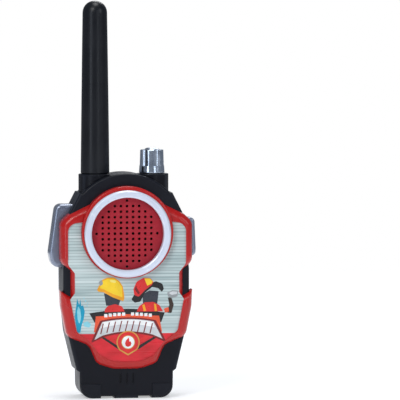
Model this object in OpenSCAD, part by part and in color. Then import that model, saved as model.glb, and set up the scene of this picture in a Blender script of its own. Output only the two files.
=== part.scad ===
// Hand-held toy walkie talkie: a black two-part housing with a red front bezel.
// X runs across the front (the talk button is at -X), -Y is the front, +Z is up.
// The origin is on the underside of the middle foot. Lengths are in millimetres.

/* [Housing] */
// Half width of the housing at its widest
body_half_w = 34.3; // [33.8:0.1:34.8]
// Front face of the front shell
front_y = -12; // [-12.5:0.1:-11.8]
// Back face of the rear shell
back_y = 14.5; // [14.3:0.1:15.5]
// Plane where the two shells meet
part_y = 1; // [0.8:0.1:1.2]
// Wall thickness of both shells
wall = 2; // [1.8:0.1:2.2]
// Radius of the arched top over the speaker
hood_r = 32.3; // [31.8:0.1:32.8]

/* [Speaker] */
// Height of the speaker's centre
spk_z = 89.5; // [89:0.1:90]
// Outer radius of the bright ring
ring_r = 23.5; // [23:0.1:23.6]
// Inner radius of the bright ring
ring_in_r = 19.6; // [19:0.1:20]
// Front of the bright ring
ring_y = -19; // [-19.5:0.1:-18.5]
// Radius of one hole in the grille
hole_r = 0.75; // [0.5:0.05:1]

/* [Antenna and knob] */
// Distance of both towers from the middle
tower_x = 15.5; // [15:0.1:16]
// Top of both towers
tower_top = 121.1; // [120:0.1:122]
// Height of the antenna's tip
antenna_top = 214.8; // [180:0.1:240]
// Radius of the antenna at the tower
antenna_r = 7.8; // [7:0.1:8]
// Radius of the antenna at its rounded tip
tip_r = 6.65; // [6:0.05:6.8]
// Radius of the knob at its foot
knob_r = 6.9; // [6.5:0.1:7.2]
// Top of the knob's grip
knob_top = 134; // [132:0.1:136]

/* [Buttons] */
// Inward travel of the talk button
ptt_travel = 2; // [1.5:0.1:2]
// Inward travel of the call button
call_travel = 1.2; // [0.8:0.1:1.4]

/* [Power] */
// Width of the nine volt battery
batt_w = 26.2; // [25:0.1:26.5]
// Depth of the battery
batt_d = 17.2; // [16:0.1:17.5]
// Height of the battery's can
batt_h = 46.4; // [45:0.1:46.5]

/* [Hidden] */
$fn = 48;
eps = 0.01;
tiny = 0.05;

black = "#1b1d22";
red = "#c81e22";
silver = "#c9cfd8";
grey = "#7d8490";
copper = "#b87333";
steel = "#a9adb3";

// Key heights of the housing's side, from the foot up
waist_low_z = 58;
waist_z = 70;
shoulder_z = 99.9;
neck_z = 111.3;
shoulder_w = body_half_w - 3.3;
neck_w = 25.2;
base_w = 25.5;
foot_gap = [6.5, 13.8];
foot_rise = 1.1;

// Levels of the front trim
bezel_y = -15;
label_floor = -13.9;
label_t = 0.35;
skirt_y = -5;
collar_y = -17.6;
collar_r = 24.9;
// The collar stands this much higher than the ring, so that it shows as a crescent
collar_up = 0.8;

// Talk button and call button
ptt_z = [70.8, 104.9];
ptt_y = [-4.2, 6.2];
call_z = [76.4, 97.2];
call_y = [-3.2, 5.2];
slot_gap = 0.3;
flange_t = 1.5;
flange_gap = 0.15;

// Circuit board
board_y = [3.5, 5.1];
board_posts = [[-21, 66.5], [22, 66.5], [-21, 103.5]];

// Case screws: top middle, two at the waist, two at the foot
case_posts = [[0, 115], [28.5, 62], [-28.5, 62], [19.6, 9], [-19.6, 9]];
head_seat_y = 10.5;

// Battery bay and door
bay_half_w = 14;
bay_front = -6.9;
bay_z = [3.2, 55.4];
door_half_w = 15.5;
door_z = [5.3, 62.5];
door_t = 1.6;
door_gap = 0.3;
door_seat_y = back_y - door_t - 0.1;
door_screw_z = 59;
door_screw_seat = 1;
door_hinge = [13.5, 6.3];
door_pin_r = 0.6;

// Belt clip
clip_axis = [17.6, 100];
clip_half_w = 9;
clip_end_z = 66;
clip_pin_r = 1.25;

// ---------- outlines ----------

function unit(v) = v / norm(v);

// Corner b between a and c, rounded to radius r in n steps
function fillet(a, b, c, r, n) =
    r <= 0 ? [b] :
    let (
        u = unit(a - b),
        v = unit(c - b),
        half = acos(u * v) / 2,
        o = b + unit(u + v) * r / sin(half),
        p = b + u * r / tan(half),
        q = b + v * r / tan(half),
        start = atan2(p[1] - o[1], p[0] - o[0]),
        stop = atan2(q[1] - o[1], q[0] - o[0]),
        turn = (stop - start + 540) % 360 - 180
    )
    [for (i = [0:n]) o + r * [cos(start + turn * i / n), sin(start + turn * i / n)]];

function flat(p) = [p[0], p[1]];

// Closed outline from corners given as [x, z, radius]
function rounded(corners, n = 5) = [
    for (i = [0:len(corners) - 1])
    let (m = len(corners))
    each fillet(
        flat(corners[(i + m - 1) % m]), flat(corners[i]), flat(corners[(i + 1) % m]),
        corners[i][2], n
    )
];

// Right-hand corners from the bottom up, with their mirror image
function both_sides(half) = concat(
    half,
    [for (i = [len(half) - 1:-1:0]) [-half[i][0], half[i][1], half[i][2]]]
);

// Housing outline, drawn in by d all round
function body_corners(d) = both_sides([
    [base_w - d, d, 6.5 - d],
    [base_w - d, 8.2, 0.5],
    [base_w + 0.4 - d, 14.8, 0.3],
    [base_w + 1.7 - d, 15.6, 0.5],
    [body_half_w - 2.3 - d, 35.5, 8],
    [body_half_w - d, waist_low_z, 8],
    [body_half_w - d, waist_z, 8],
    [shoulder_w - d, shoulder_z, 6],
    [neck_w - d, neck_z - d, 1]
]);

function bezel_corners() = both_sides([
    [7.5, 15.9, 12],
    [16.6, 19, 4],
    [20.8, 28.9, 5],
    [32.4, 33.7, 4],
    [35.6, 50, 8],
    [36, 58.8, 1.4],
    [30.7, 55.8, 0.6],
    [30.7, 69.6, 1.5],
    [35.9, 74, 4],
    [35.9, 95.6, 4],
    [31, 100.1, 6],
    [20.4, 105.3, 1]
]);

function label_corners() = both_sides([
    [7.5, 20.2, 12],
    [14.6, 23.8, 3],
    [20.6, 31.5, 3],
    [27.4, 36.6, 3],
    [30.9, 54, 1.5],
    [28.4, 57.4, 1.5],
    [28.4, 68.4, 2],
    [32.1, 73, 4],
    [32.1, 94.9, 5],
    [22, 96, 0]
]);

// Side wall's outer face at height z, between the waist and the shoulder
function wall_x(z) = body_half_w - 3.3 * (z - waist_z) / (shoulder_z - waist_z);

// Plate with an outline in X and Z, from y0 to y1
module slab(points, y0, y1) {
    translate([0, y1, 0]) rotate([90, 0, 0]) linear_extrude(y1 - y0) polygon(points);
}

// Cylinder along Y, from y0 to y1
module disc(x, z, r, y0, y1) {
    translate([x, y1, z]) rotate([90, 0, 0]) cylinder(r = r, h = y1 - y0);
}

module box(low, high) {
    translate(low) cube(high - low);
}

// Profile of [radius, distance in front of Y = 0] turned about the speaker's axis
module turned_on_speaker(profile) {
    translate([0, 0, spk_z]) rotate([90, 0, 0]) rotate_extrude() polygon(profile);
}

// ---------- round wire ----------

function spline(p0, p1, p2, p3, t) =
    0.5 * (2 * p1 + (p2 - p0) * t + (2 * p0 - 5 * p1 + 4 * p2 - p3) * t * t
    + (3 * p1 - p0 - 3 * p2 + p3) * t * t * t);

function smooth_path(p, n) = concat(
    [for (i = [0:len(p) - 2]) for (k = [0:n - 1])
        spline(p[max(i - 1, 0)], p[i], p[i + 1], p[min(i + 2, len(p) - 1)], k / n)],
    [p[len(p) - 1]]
);

// Tube of radius r along a path; side is a direction that the path never follows
module wire(path, r, side, sides = 6) {
    last = len(path) - 1;
    points = [
        for (i = [0:last])
        let (
            t = unit(path[min(i + 1, last)] - path[max(i - 1, 0)]),
            u = unit(cross(side, t)),
            v = cross(t, u)
        )
        for (k = [0:sides - 1]) path[i] + r * (cos(360 * k / sides) * u + sin(360 * k / sides) * v)
    ];
    walls = [
        for (i = [0:last - 1]) for (k = [0:sides - 1])
        let (a = i * sides + k, b = i * sides + (k + 1) % sides)
        [a, a + sides, b + sides, b]
    ];
    ends = [[for (k = [0:sides - 1]) k], [for (k = [sides - 1:-1:0]) last * sides + k]];
    polyhedron(points = points, faces = concat(walls, ends));
}

// ---------- fasteners ----------

// Pan-head screw along +Y, its head's seat at y = 0 and a cross recess in the head
module screw(shank_r, length, head_r, head_h) {
    difference() {
        union() {
            disc(0, 0, head_r, 0, head_h);
            disc(0, 0, shank_r, -length, eps);
        }
        for (a = [0, 90]) rotate([0, a, 0]) {
            box([-head_r * 0.62, head_h * 0.45, -0.35], [head_r * 0.62, head_h + 1, 0.35]);
        }
    }
}

// ---------- housing ----------

// Arched top over the speaker, above the shoulders only
module hood(r, y0, y1) {
    intersection() {
        disc(0, spk_z, r, y0, y1);
        box([-40, y0 - 1, shoulder_z + 0.3], [40, y1 + 1, 140]);
    }
}

module body_form(y0, y1) {
    slab(rounded(body_corners(0)), y0, y1);
    hood(hood_r, y0, y1);
}

module body_space(y0, y1) {
    slab(rounded(body_corners(wall)), y0, y1);
    hood(hood_r - wall, y0, y1);
}

module towers() {
    for (x = [-tower_x, tower_x]) {
        translate([x, part_y, neck_z - 4]) cylinder(r = 9, h = tower_top - neck_z + 4);
    }
}

module tower_bores() {
    translate([-tower_x, part_y, 100]) cylinder(r = 7.2, h = 12.3);
    translate([-tower_x, part_y, 110]) cylinder(r = 5.6, h = 15);
    translate([tower_x, part_y, 100]) cylinder(r = 7.2, h = 18);
    translate([tower_x, part_y, 110]) cylinder(r = 3.6, h = 15);
}

module foot_gaps() {
    for (s = [-1, 1]) {
        translate([s * (foot_gap[0] + foot_gap[1]) / 2, 0, foot_rise / 2 - 0.5])
            cube([foot_gap[1] - foot_gap[0], 60, foot_rise + 1], center = true);
    }
}

module button_slots() {
    box([-45, ptt_y[0] - slot_gap, ptt_z[0] - slot_gap], [-25, ptt_y[1] + slot_gap, ptt_z[1] + slot_gap]);
    box([25, call_y[0] - slot_gap, call_z[0] - slot_gap], [45, call_y[1] + slot_gap, call_z[1] + slot_gap]);
}

module front_half() {
    intersection() {
        children();
        box([-60, -40, -10], [60, part_y, 240]);
    }
}

module rear_half() {
    intersection() {
        children();
        box([-60, part_y, -10], [60, 60, 240]);
    }
}

peg_spots = [[25.5, 45], [-25.5, 45], [28, 80], [-28, 80]];
speaker_screw_spots = [for (a = [45, 135, 225, 315]) [20.6 * cos(a), spk_z + 20.6 * sin(a)]];

module front_shell() color(black) {
    difference() {
        union() {
            difference() {
                body_form(front_y, part_y);
                body_space(front_y + wall, part_y + 1);
            }
            front_half() towers();
            for (p = case_posts) disc(p[0], p[1], 3, front_y + wall - eps, part_y);
            for (p = board_posts) disc(p[0], p[1], 2.2, front_y + wall - eps, board_y[0]);
            for (p = speaker_screw_spots) disc(p[0], p[1], 1.5, front_y + wall - eps, -9);
            for (s = [-1, 1]) {
                slab([
                    [s * 14, 1.3], [s * 20, 1.3], [s * 24.7, 5], [s * 24.7, 8], [s * 14, 8]
                ], front_y - 0.6, front_y + eps);
            }
        }
        tower_bores();
        foot_gaps();
        button_slots();
        disc(0, spk_z, 17, front_y - 1, front_y + wall + 1);
        for (p = case_posts) disc(p[0], p[1], 1.3, -7, part_y + 1);
        for (p = board_posts) disc(p[0], p[1], 0.9, -5, board_y[0] + 1);
        for (p = speaker_screw_spots) disc(p[0], p[1], 0.9, -11.2, -8);
        for (p = peg_spots) disc(p[0], p[1], 1.4, front_y - 1, front_y + wall + 1);
        for (x = [-3.4, 0, 3.4]) box([x - 0.5, front_y - 1, 8.4], [x + 0.5, front_y + 0.6, 13.3]);
    }
}

module rear_shell() color(black) {
    ear_y = [back_y - eps, clip_axis[0] + 2.6];
    difference() {
        union() {
            difference() {
                body_form(part_y, back_y);
                body_space(part_y - 1, back_y - wall);
            }
            rear_half() towers();
            for (p = case_posts) disc(p[0], p[1], 4.4, part_y, back_y - wall + eps);
            // battery bay with walls that end at the seam of the shells
            box([-bay_half_w - 1.2, bay_front - 1.2, wall + tiny],
                [bay_half_w + 1.2, back_y - wall + eps, bay_z[1] + 1.2]);
            // frame that the door rests on, and the boss for its screw
            box([-door_half_w - 1.8, door_seat_y - 1.8, wall + tiny],
                [door_half_w + 1.8, back_y - wall + eps, door_z[1] + 1.8]);
            disc(0, door_screw_z, 3.2, 4, door_seat_y - 1);
            // ears of the belt clip's hinge
            for (s = [-1, 1]) {
                translate([s * 10.4 - 1, 0, 0]) rotate([90, 0, 90]) linear_extrude(2)
                    polygon(rounded([
                        [ear_y[0], clip_axis[1] - 5, 0], [ear_y[1], clip_axis[1] - 2.6, 2.5],
                        [ear_y[1], clip_axis[1] + 2.6, 2.5], [ear_y[0], clip_axis[1] + 5, 0]
                    ]));
            }
        }
        tower_bores();
        foot_gaps();
        button_slots();
        box([-bay_half_w, bay_front, bay_z[0]], [bay_half_w, back_y - wall, bay_z[1]]);
        box([-bay_half_w, 5, door_z[0] - door_gap], [bay_half_w, back_y + 1, bay_z[1]]);
        box([-door_half_w - door_gap, door_seat_y, door_z[0] - door_gap],
            [door_half_w + door_gap, back_y + 1, door_z[1] + door_gap]);
        // room for the door's rounded lower edge, and the holes for its hinge pins
        box([-door_half_w - door_gap, door_hinge[0] - 1.4, door_z[0] - door_gap],
            [door_half_w + door_gap, back_y, door_hinge[1] + 2]);
        translate([-door_half_w - 1.5, door_hinge[0], door_hinge[1]]) rotate([0, 90, 0])
            cylinder(r = door_pin_r + tiny, h = 2 * door_half_w + 3);
        // lead notch in the bay's top wall
        for (s = [-1, 1]) box([s * 6 - 1.4, 5, bay_z[1] - 1], [s * 6 + 1.4, 9.5, bay_z[1] + 2]);
        disc(0, door_screw_z, 1.8, 6, back_y);
        for (p = case_posts) {
            disc(p[0], p[1], 1.6, part_y - 1, back_y);
            disc(p[0], p[1], 3.1, head_seat_y, back_y + 1);
        }
        translate([-20, clip_axis[0], clip_axis[1]]) rotate([0, 90, 0]) cylinder(r = clip_pin_r, h = 40);
    }
}

// ---------- front trim ----------

module front_bezel() color(red) {
    difference() {
        union() {
            slab(rounded(bezel_corners()), bezel_y, front_y - tiny);
            difference() {
                slab(rounded(bezel_corners()), front_y - tiny - eps, skirt_y);
                slab(rounded(body_corners(-0.1)), front_y - 1, skirt_y + 1);
            }
            disc(0, spk_z + collar_up, collar_r, collar_y, front_y - tiny);
            for (p = peg_spots) disc(p[0], p[1], 1.2, front_y - 1, -8.5);
        }
        difference() {
            slab(rounded(label_corners()), bezel_y - 1, label_floor);
            disc(0, spk_z + collar_up, collar_r, bezel_y - 2, label_floor + 1);
        }
        disc(0, spk_z, ring_r + 0.1, collar_y - 1, label_floor);
        disc(0, spk_z, 22.2, label_floor - 1, front_y + 1);
    }
}

module front_label() color("#b9c6c8") {
    difference() {
        slab(rounded(label_corners()), label_floor - tiny - label_t, label_floor - tiny);
        disc(0, spk_z + collar_up, collar_r + 0.1, label_floor - 2, label_floor + 1);
    }
}

// Holes in each row from the middle row out, and the number of holes on each side of the row's middle
grille_rows = [5, 4, 4, 4, 3, 2, 0];
hole_pitch_x = 3.3;
hole_pitch_z = 2.97;

module speaker_grille() color("#a32030") {
    difference() {
        union() {
            disc(0, spk_z, 20.6, -14.6, -13.2);
            disc(0, spk_z, 22, -13.2 - eps, front_y - 0.1);
        }
        disc(0, spk_z, 19.4, -13.2, front_y + 1);
        for (row = [-6:6]) {
            side = grille_rows[abs(row)];
            for (i = [-side:side]) {
                disc(i * hole_pitch_x, spk_z + row * hole_pitch_z, hole_r, -15, -12);
            }
        }
    }
}

module speaker_ring() color(silver) {
    turned_on_speaker([
        [ring_in_r, 14.7], [ring_in_r, -ring_y - 0.6], [ring_in_r + 0.7, -ring_y],
        [ring_r - 0.7, -ring_y], [ring_r, -ring_y - 0.8], [ring_r, 13.95],
        [22.3, 13.95], [22.3, 14.7]
    ]);
}

// ---------- antenna ----------

module antenna_sleeve() color(black) {
    straight_top = antenna_top - tip_r;
    translate([-tower_x, part_y, 0]) rotate_extrude() polygon(concat(
        [
            [2, 109], [7, 109], [7, 112], [5.5, 112],
            [5.5, tower_top], [antenna_r, tower_top], [antenna_r, tower_top + 1]
        ],
        [for (a = [0:9:81]) [tip_r * cos(a), straight_top + tip_r * sin(a)]],
        [
            [0, antenna_top], [0, antenna_top - 8], [3.5, antenna_top - 10],
            [4, tower_top + 2], [2, tower_top - 4]
        ]
    ));
}

module antenna_wire() color(copper) {
    translate([-tower_x, part_y, 107]) cylinder(r = 0.6, h = 92);
}

module antenna_lead() color("#2f7d3a") {
    wire(smooth_path([
        [-11, 5.7, 97], [-11, 8, 99], [-12.5, 7, 103], [-15, 3.5, 105.3], [-15.5, 1, 106.3]
    ], 4), 0.5, [1, 0, 0.2]);
}

// ---------- talk button ----------

// Flange behind the side wall: it is wider in Y than the slot, and keeps the button in
module flange(z0, z1, y, extra) {
    inset = wall + flange_gap;
    slab([
        [wall_x(z0) - inset, z0], [wall_x(z1) - inset, z1],
        [wall_x(z1) - inset - flange_t, z1], [wall_x(z0) - inset - flange_t, z0]
    ], y[0] - extra, y[1] + extra);
}

plunger_y = 0.8;
plunger_z = 88;
switch_face = 25;

module ptt_button() color(grey) {
    mirror([1, 0, 0]) {
        slab(rounded([
            [29.6, ptt_z[0], 0.5], [39.6, ptt_z[0], 4.5], [41.1, 78.5, 5],
            [38.2, 99.5, 8], [37.4, ptt_z[1], 3.5], [28, ptt_z[1], 0.5], [27.7, 99, 0]
        ]), ptt_y[0], ptt_y[1]);
        flange(73, 98, ptt_y, 1.8);
        translate([switch_face + 3.2, plunger_y, plunger_z]) rotate([0, 90, 0]) cylinder(r = 1.6, h = 2.6);
    }
}

module ptt_plunger() color("white") {
    mirror([1, 0, 0]) translate([0, plunger_y, plunger_z]) rotate([0, 90, 0]) {
        translate([0, 0, switch_face - 3]) cylinder(r = 1.3, h = 5.5);
        translate([0, 0, switch_face + 2.4]) cylinder(r = 2.2, h = 0.8);
    }
}

module ptt_spring() color(steel) {
    turns = 3;
    from = -switch_face - 2.15;
    to = -switch_face - 0.25;
    wire([for (i = [0:turns * 12]) let (a = 30 * i) [
        from + (to - from) * i / (turns * 12), plunger_y + 2 * cos(a), plunger_z + 2 * sin(a)
    ]], 0.22, [1, 0, 0]);
}

module ptt_switch() color("#2b2b2b") {
    difference() {
        union() {
            box([-switch_face, -1.9, 83.6], [-17, board_y[0], 92.4]);
            box([-switch_face + 1, -2.5, 84.6], [-18, -1.8, 91.4]);
        }
        translate([-switch_face - 1, plunger_y, plunger_z]) rotate([0, 90, 0]) cylinder(r = 1.4, h = 6.6);
    }
}

// ---------- call button ----------

leaf_z = 87;

module call_button() color(grey) {
    slab(rounded([
        [29, call_z[0], 0.5], [38.9, call_z[0], 2], [39.1, 80, 3],
        [38.4, call_z[1], 2.5], [28, call_z[1], 0.5]
    ]), call_y[0], call_y[1]);
    flange(call_z[0] + 1, call_z[1] - 0.5, call_y, 1.6);
    translate([25.9, plunger_y, leaf_z]) rotate([0, 90, 0]) cylinder(r = 1.5, h = 3.5);
}

module call_leaf() color("#c9a24a") {
    box([25.5, -1.2, 79], [25.8, 2.8, 90]);
    box([24.2, -1.2, 78.7], [25.8, board_y[0], 79]);
}

module call_contact() color("#c9a24a") {
    box([23.6, -1.2, 83], [23.9, board_y[0], 91]);
    translate([23.8, plunger_y, leaf_z]) rotate([0, 90, 0]) cylinder(r = 0.7, h = 0.6);
}

// ---------- volume control ----------

knob_foot = tower_top + 0.3;
flute_z = 125.3;
flute_turn = 17;
shaft_r = 3;

module volume_knob() color(silver) {
    grip_r = 6.4;
    dome_r = 6.1;
    dome_half_w = 3.9;
    dome_base = knob_top + 1.4 - dome_r;
    translate([tower_x, part_y, 0]) difference() {
        rotate_extrude() polygon(concat(
            [
                [0, knob_foot], [knob_r, knob_foot], [grip_r, knob_top - 0.3],
                [grip_r - 0.3, knob_top], [dome_half_w, knob_top]
            ],
            [for (a = [50:8:82]) [dome_r * cos(a), dome_base + dome_r * sin(a)]],
            [[0, knob_top + 1.4]]
        ));
        for (i = [0:5]) rotate([0, 0, flute_turn - 90 + 60 * i]) {
            box([5.75, -2.1, flute_z], [9, 2.1, knob_top + 1]);
        }
        translate([0, 0, knob_foot - 1]) cylinder(r = shaft_r + tiny, h = 10.6);
    }
}

module volume_shaft() color(steel) {
    translate([tower_x, part_y, 104]) cylinder(r = shaft_r, h = 26.8);
}

module volume_control() color("#3a3f46") {
    difference() {
        union() {
            box([tower_x - 6, -5, 100.5], [tower_x + 6, 7, 105.5]);
            translate([tower_x, part_y, 105.4]) cylinder(r = 4.6, h = 2.1);
            box([tower_x - 3, board_y[0] - 0.8, 97.8], [tower_x + 3, board_y[0], 100.6]);
        }
        translate([tower_x, part_y, 103.9]) cylinder(r = shaft_r + tiny, h = 6);
    }
}

// ---------- battery and door ----------

module battery_door() color(black) {
    difference() {
        union() {
            box([-door_half_w, back_y - door_t, door_hinge[1]], [door_half_w, back_y, door_z[1]]);
            translate([-door_half_w, door_hinge[0], door_hinge[1]]) rotate([0, 90, 0])
                cylinder(r = back_y - door_hinge[0], h = 2 * door_half_w);
            translate([-door_half_w - 1.2, door_hinge[0], door_hinge[1]]) rotate([0, 90, 0])
                cylinder(r = door_pin_r, h = 2 * door_half_w + 2.4);
        }
        disc(0, door_screw_z, 1.25, 0, back_y + 1);
        disc(0, door_screw_z, 2.4, back_y - door_screw_seat, back_y + 1);
        for (i = [0:4]) box([-8, back_y - 0.5, 44 + 1.8 * i], [8, back_y + 1, 44.8 + 1.8 * i]);
    }
}

module door_screw() color(steel) {
    translate([0, back_y - door_screw_seat, door_screw_z]) screw(1.1, 5.3, 2.2, 0.9);
}

module battery_pad() color("#55575c") {
    box([-7, 11.35, 18], [7, back_y - door_t - 0.02, 32]);
}

batt_low = bay_z[0] + 0.2;
batt_y = [bay_front + 0.2, bay_front + 0.2 + batt_d];
batt_mid = (batt_y[0] + batt_y[1]) / 2;
batt_top = batt_low + batt_h;
snap_x = 6.35;

module battery() color("#2d5fa8") {
    translate([0, 0, batt_low]) linear_extrude(batt_h) polygon(rounded([
        [-batt_w / 2, batt_y[0], 2], [batt_w / 2, batt_y[0], 2],
        [batt_w / 2, batt_y[1], 2], [-batt_w / 2, batt_y[1], 2]
    ]));
}

module battery_terminals() color(steel) {
    translate([-snap_x, batt_mid, batt_top]) cylinder(r = 2.8, h = 2.2);
    translate([snap_x, batt_mid, batt_top]) difference() {
        cylinder(r = 4, h = 2.2, $fn = 6);
        translate([0, 0, 0.6]) cylinder(r = 2.6, h = 3);
    }
}

module battery_snap() color("#202020") {
    difference() {
        translate([0, 0, batt_top + 0.6]) linear_extrude(4.4) polygon(rounded([
            [-12.8, batt_mid - 6, 3], [12.8, batt_mid - 6, 3],
            [12.8, batt_mid + 6, 3], [-12.8, batt_mid + 6, 3]
        ]));
        for (s = [-1, 1]) translate([s * snap_x, batt_mid, batt_top]) cylinder(r = 4.2, h = 2.4);
    }
}

module battery_lead(s) {
    wire(smooth_path([
        [s * 6, 7.4, batt_top + 5.15], [s * 6, 7.3, batt_top + 6.4], [s * 6.2, 7.2, batt_top + 9],
        [s * 6.6, 7.4, 61], [s * 7, 7, 64], [s * 7, 5.8, 65.2]
    ], 3), 0.6, [1, 0, 0]);
}

module battery_lead_red() color("#c0202a") battery_lead(1);
module battery_lead_black() color("#181818") battery_lead(-1);

// ---------- belt clip ----------

module belt_clip() color(black) {
    y = clip_axis[0];
    z = clip_axis[1];
    blade = [y + 2.3, y + 4.1];
    difference() {
        union() {
            translate([-clip_half_w, 0, 0]) rotate([90, 0, 90]) linear_extrude(2 * clip_half_w)
                polygon(rounded([
                    [blade[0], z + 12, 0.8], [blade[0], clip_end_z + 6, 1.5],
                    [15.6, clip_end_z + 3, 1], [14.8, clip_end_z + 1.6, 0.5], [16.4, clip_end_z, 1],
                    [blade[1], clip_end_z + 4.4, 2], [blade[1], z + 12, 0.8]
                ]));
            translate([-clip_half_w, y, z]) rotate([0, 90, 0]) cylinder(r = 2.5, h = 2 * clip_half_w);
            box([-clip_half_w, y, z - 2.3], [clip_half_w, blade[0] + eps, z + 2.3]);
        }
        box([-4, y - 3, z - 4], [4, blade[0], z + 4]);
        translate([-20, y, z]) rotate([0, 90, 0]) cylinder(r = clip_pin_r + tiny, h = 40);
        for (i = [0:3]) box([-7, blade[1] - 0.5, z + 4.2 + 1.9 * i], [7, blade[1] + 1, z + 5.1 + 1.9 * i]);
    }
}

module clip_pin() color(steel) {
    translate([-11.4, clip_axis[0], clip_axis[1]]) rotate([0, 90, 0]) cylinder(r = clip_pin_r, h = 22.8);
}

module clip_spring() color(steel) {
    y = clip_axis[0];
    z = clip_axis[1];
    coil_r = 1.85;
    turns = 5;
    leg_to_shell = [
        [-2.2, back_y + 0.35, z - 7], [-2.2, back_y + 0.9, z - 4], [-2.2, y - 2.3, z - 1.6]
    ];
    coil = [for (i = [0:turns * 12 + 3]) let (a = 180 + 30 * i) [
        -2 + 4 * i / (turns * 12 + 3), y + coil_r * cos(a), z - coil_r * sin(a)
    ]];
    leg_to_clip = [[2.2, y + 1, z + 3.6], [2.2, y + 1.95, z + 8]];
    wire(concat(leg_to_shell, coil, leg_to_clip), 0.27, [1, 0.01, 0.01]);
}

// ---------- screws ----------

module case_screws() color(steel) {
    for (p = case_posts) translate([p[0], head_seat_y, p[1]]) screw(1.25, 16.5, 2.75, 1.9);
}

module board_screws() color(steel) {
    for (p = board_posts) translate([p[0], board_y[1], p[1]]) screw(0.85, 8, 1.9, 1.3);
}

module speaker_screws() color(steel) {
    for (p = speaker_screw_spots) translate([p[0], -8.15, p[1]]) screw(0.85, 2.9, 2.2, 1);
}

// ---------- circuit board ----------

module circuit_board() color("#3f7a45") {
    difference() {
        slab([
            [-24, 62.6], [27, 62.6], [27, 92.5], [24, 92.5], [24, 98],
            [21, 98], [21, 100], [9, 100], [9, 106.5], [-24, 106.5]
        ], board_y[0], board_y[1]);
        for (p = board_posts) disc(p[0], p[1], 1.1, 0, 10);
        for (p = case_posts) disc(p[0], p[1], 4.7, 0, 10);
        translate([-tower_x, part_y, 100]) cylinder(r = 8, h = 12);
    }
}

// Parts stand on the board's rear face
rear = board_y[1];

module audio_chip() color("#1c1c1e") {
    box([-2, rear + 0.5, 79], [4.4, rear + 3.8, 89]);
    for (s = [-1, 1]) for (i = [0:3]) {
        box([1.2 + s * 3.6 - 0.4, rear, 80 + i * 2.54], [1.2 + s * 3.6 + 0.4, rear + 2, 80.5 + i * 2.54]);
    }
}

module tuning_coils() color(silver) {
    for (x = [-16, -4.5]) difference() {
        box([x - 3.5, rear, 91.5], [x + 3.5, rear + 6.8, 98.5]);
        disc(x, 95, 1.8, rear + 5, rear + 8);
    }
}

module crystal() color(silver) {
    slab(rounded([[-19.5, 82, 1.8], [-9, 82, 1.8], [-9, 86, 1.8], [-19.5, 86, 1.8]]), rear, rear + 3.6);
}

module electrolytic_caps() color("#23408f") {
    for (p = [[10.5, 88], [17, 88], [13.5, 79]]) difference() {
        disc(p[0], p[1], 2.6, rear, rear + 6.8);
        difference() {
            disc(p[0], p[1], 3, rear + 6, rear + 6.4);
            disc(p[0], p[1], 2.4, rear + 5.9, rear + 6.5);
        }
    }
}

module disc_caps() color("#c98a3c") {
    for (p = [[-10, 76], [-5, 74], [20, 80], [4, 94]]) {
        translate([p[0], rear + 3.6, p[1]]) rotate([0, 90, 0]) cylinder(r = 2.4, h = 1.4, center = true);
        box([p[0] - 0.25, rear, p[1] - 1.5], [p[0] + 0.25, rear + 2.4, p[1] - 1]);
        box([p[0] - 0.25, rear, p[1] + 1], [p[0] + 0.25, rear + 2.4, p[1] + 1.5]);
    }
}

module resistors() color("#d8c39a") {
    for (p = [[-17.5, 71], [-13.5, 71], [1, 71], [15.5, 71], [18.5, 71], [21, 88]]) {
        translate([p[0], rear + 1.6, p[1] - 3]) cylinder(r = 1.1, h = 6);
        translate([p[0], rear + 1.6, p[1] - 4.4]) cylinder(r = 0.3, h = 8.8);
        for (s = [-1, 1]) disc(p[0], p[1] + s * 4.05, 0.22, rear, rear + 1.6);
    }
}

module transistors() color("#1c1c1e") {
    for (p = [[-20, 78], [8, 72], [-8, 102]]) difference() {
        disc(p[0], p[1], 2.4, rear, rear + 5.2);
        box([p[0] - 3, rear - 1, p[1] + 1.3], [p[0] + 3, rear + 6, p[1] + 4]);
    }
}

// ---------- speaker ----------

module speaker_gasket() color("#3c3c40") {
    turned_on_speaker([[17.2, 9], [19, 9], [19, 9.98], [17.2, 9.98]]);
}

module speaker_frame() color(steel) {
    turned_on_speaker([
        [17.15, 9], [19, 9], [19, 8.2], [17.9, 8.2], [17.5, 7.6], [11, 3.52], [6.3, 3.52],
        [6.3, 3.9], [10.4, 3.9], [17.15, 7.9]
    ]);
}

module speaker_magnet() color("#4a4c50") {
    turned_on_speaker([
        [0, -2.3], [11, -2.3], [11, 3.5], [6.1, 3.5], [6.1, -1.2], [4.4, -1.2], [4.4, 3.5], [0, 3.5]
    ]);
}

module speaker_surround() color("#2a2a2c") {
    turned_on_speaker([
        [14.75, 8.6], [14.75, 8.35], [15.3, 8.25], [16, 8.05], [16.7, 8.25], [17.1, 8.6],
        [17.1, 8.85], [16.7, 8.55], [16, 8.35], [15.3, 8.55]
    ]);
}

module speaker_cone() color("#3a3632") {
    turned_on_speaker([
        [0, 6.6], [2.5, 6.3], [4.9, 5.2], [14.7, 8.7], [14.7, 8.4], [5.4, 4.8], [5.4, 0.5],
        [5, 0.5], [5, 4.9], [2.5, 6], [0, 6.3]
    ]);
}

module speaker_lead(x) {
    wire(smooth_path([
        [x, -5.4, 75.6], [x + 0.6, -3, 74], [x + 1.2, 0, 72], [x + 1.4, 2.4, 71.4], [x + 1.4, 3.45, 71.2]
    ], 3), 0.45, [1, 0, 0]);
}

module speaker_lead_red() color("#c0202a") speaker_lead(4);
module speaker_lead_black() color("#181818") speaker_lead(-6);

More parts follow.
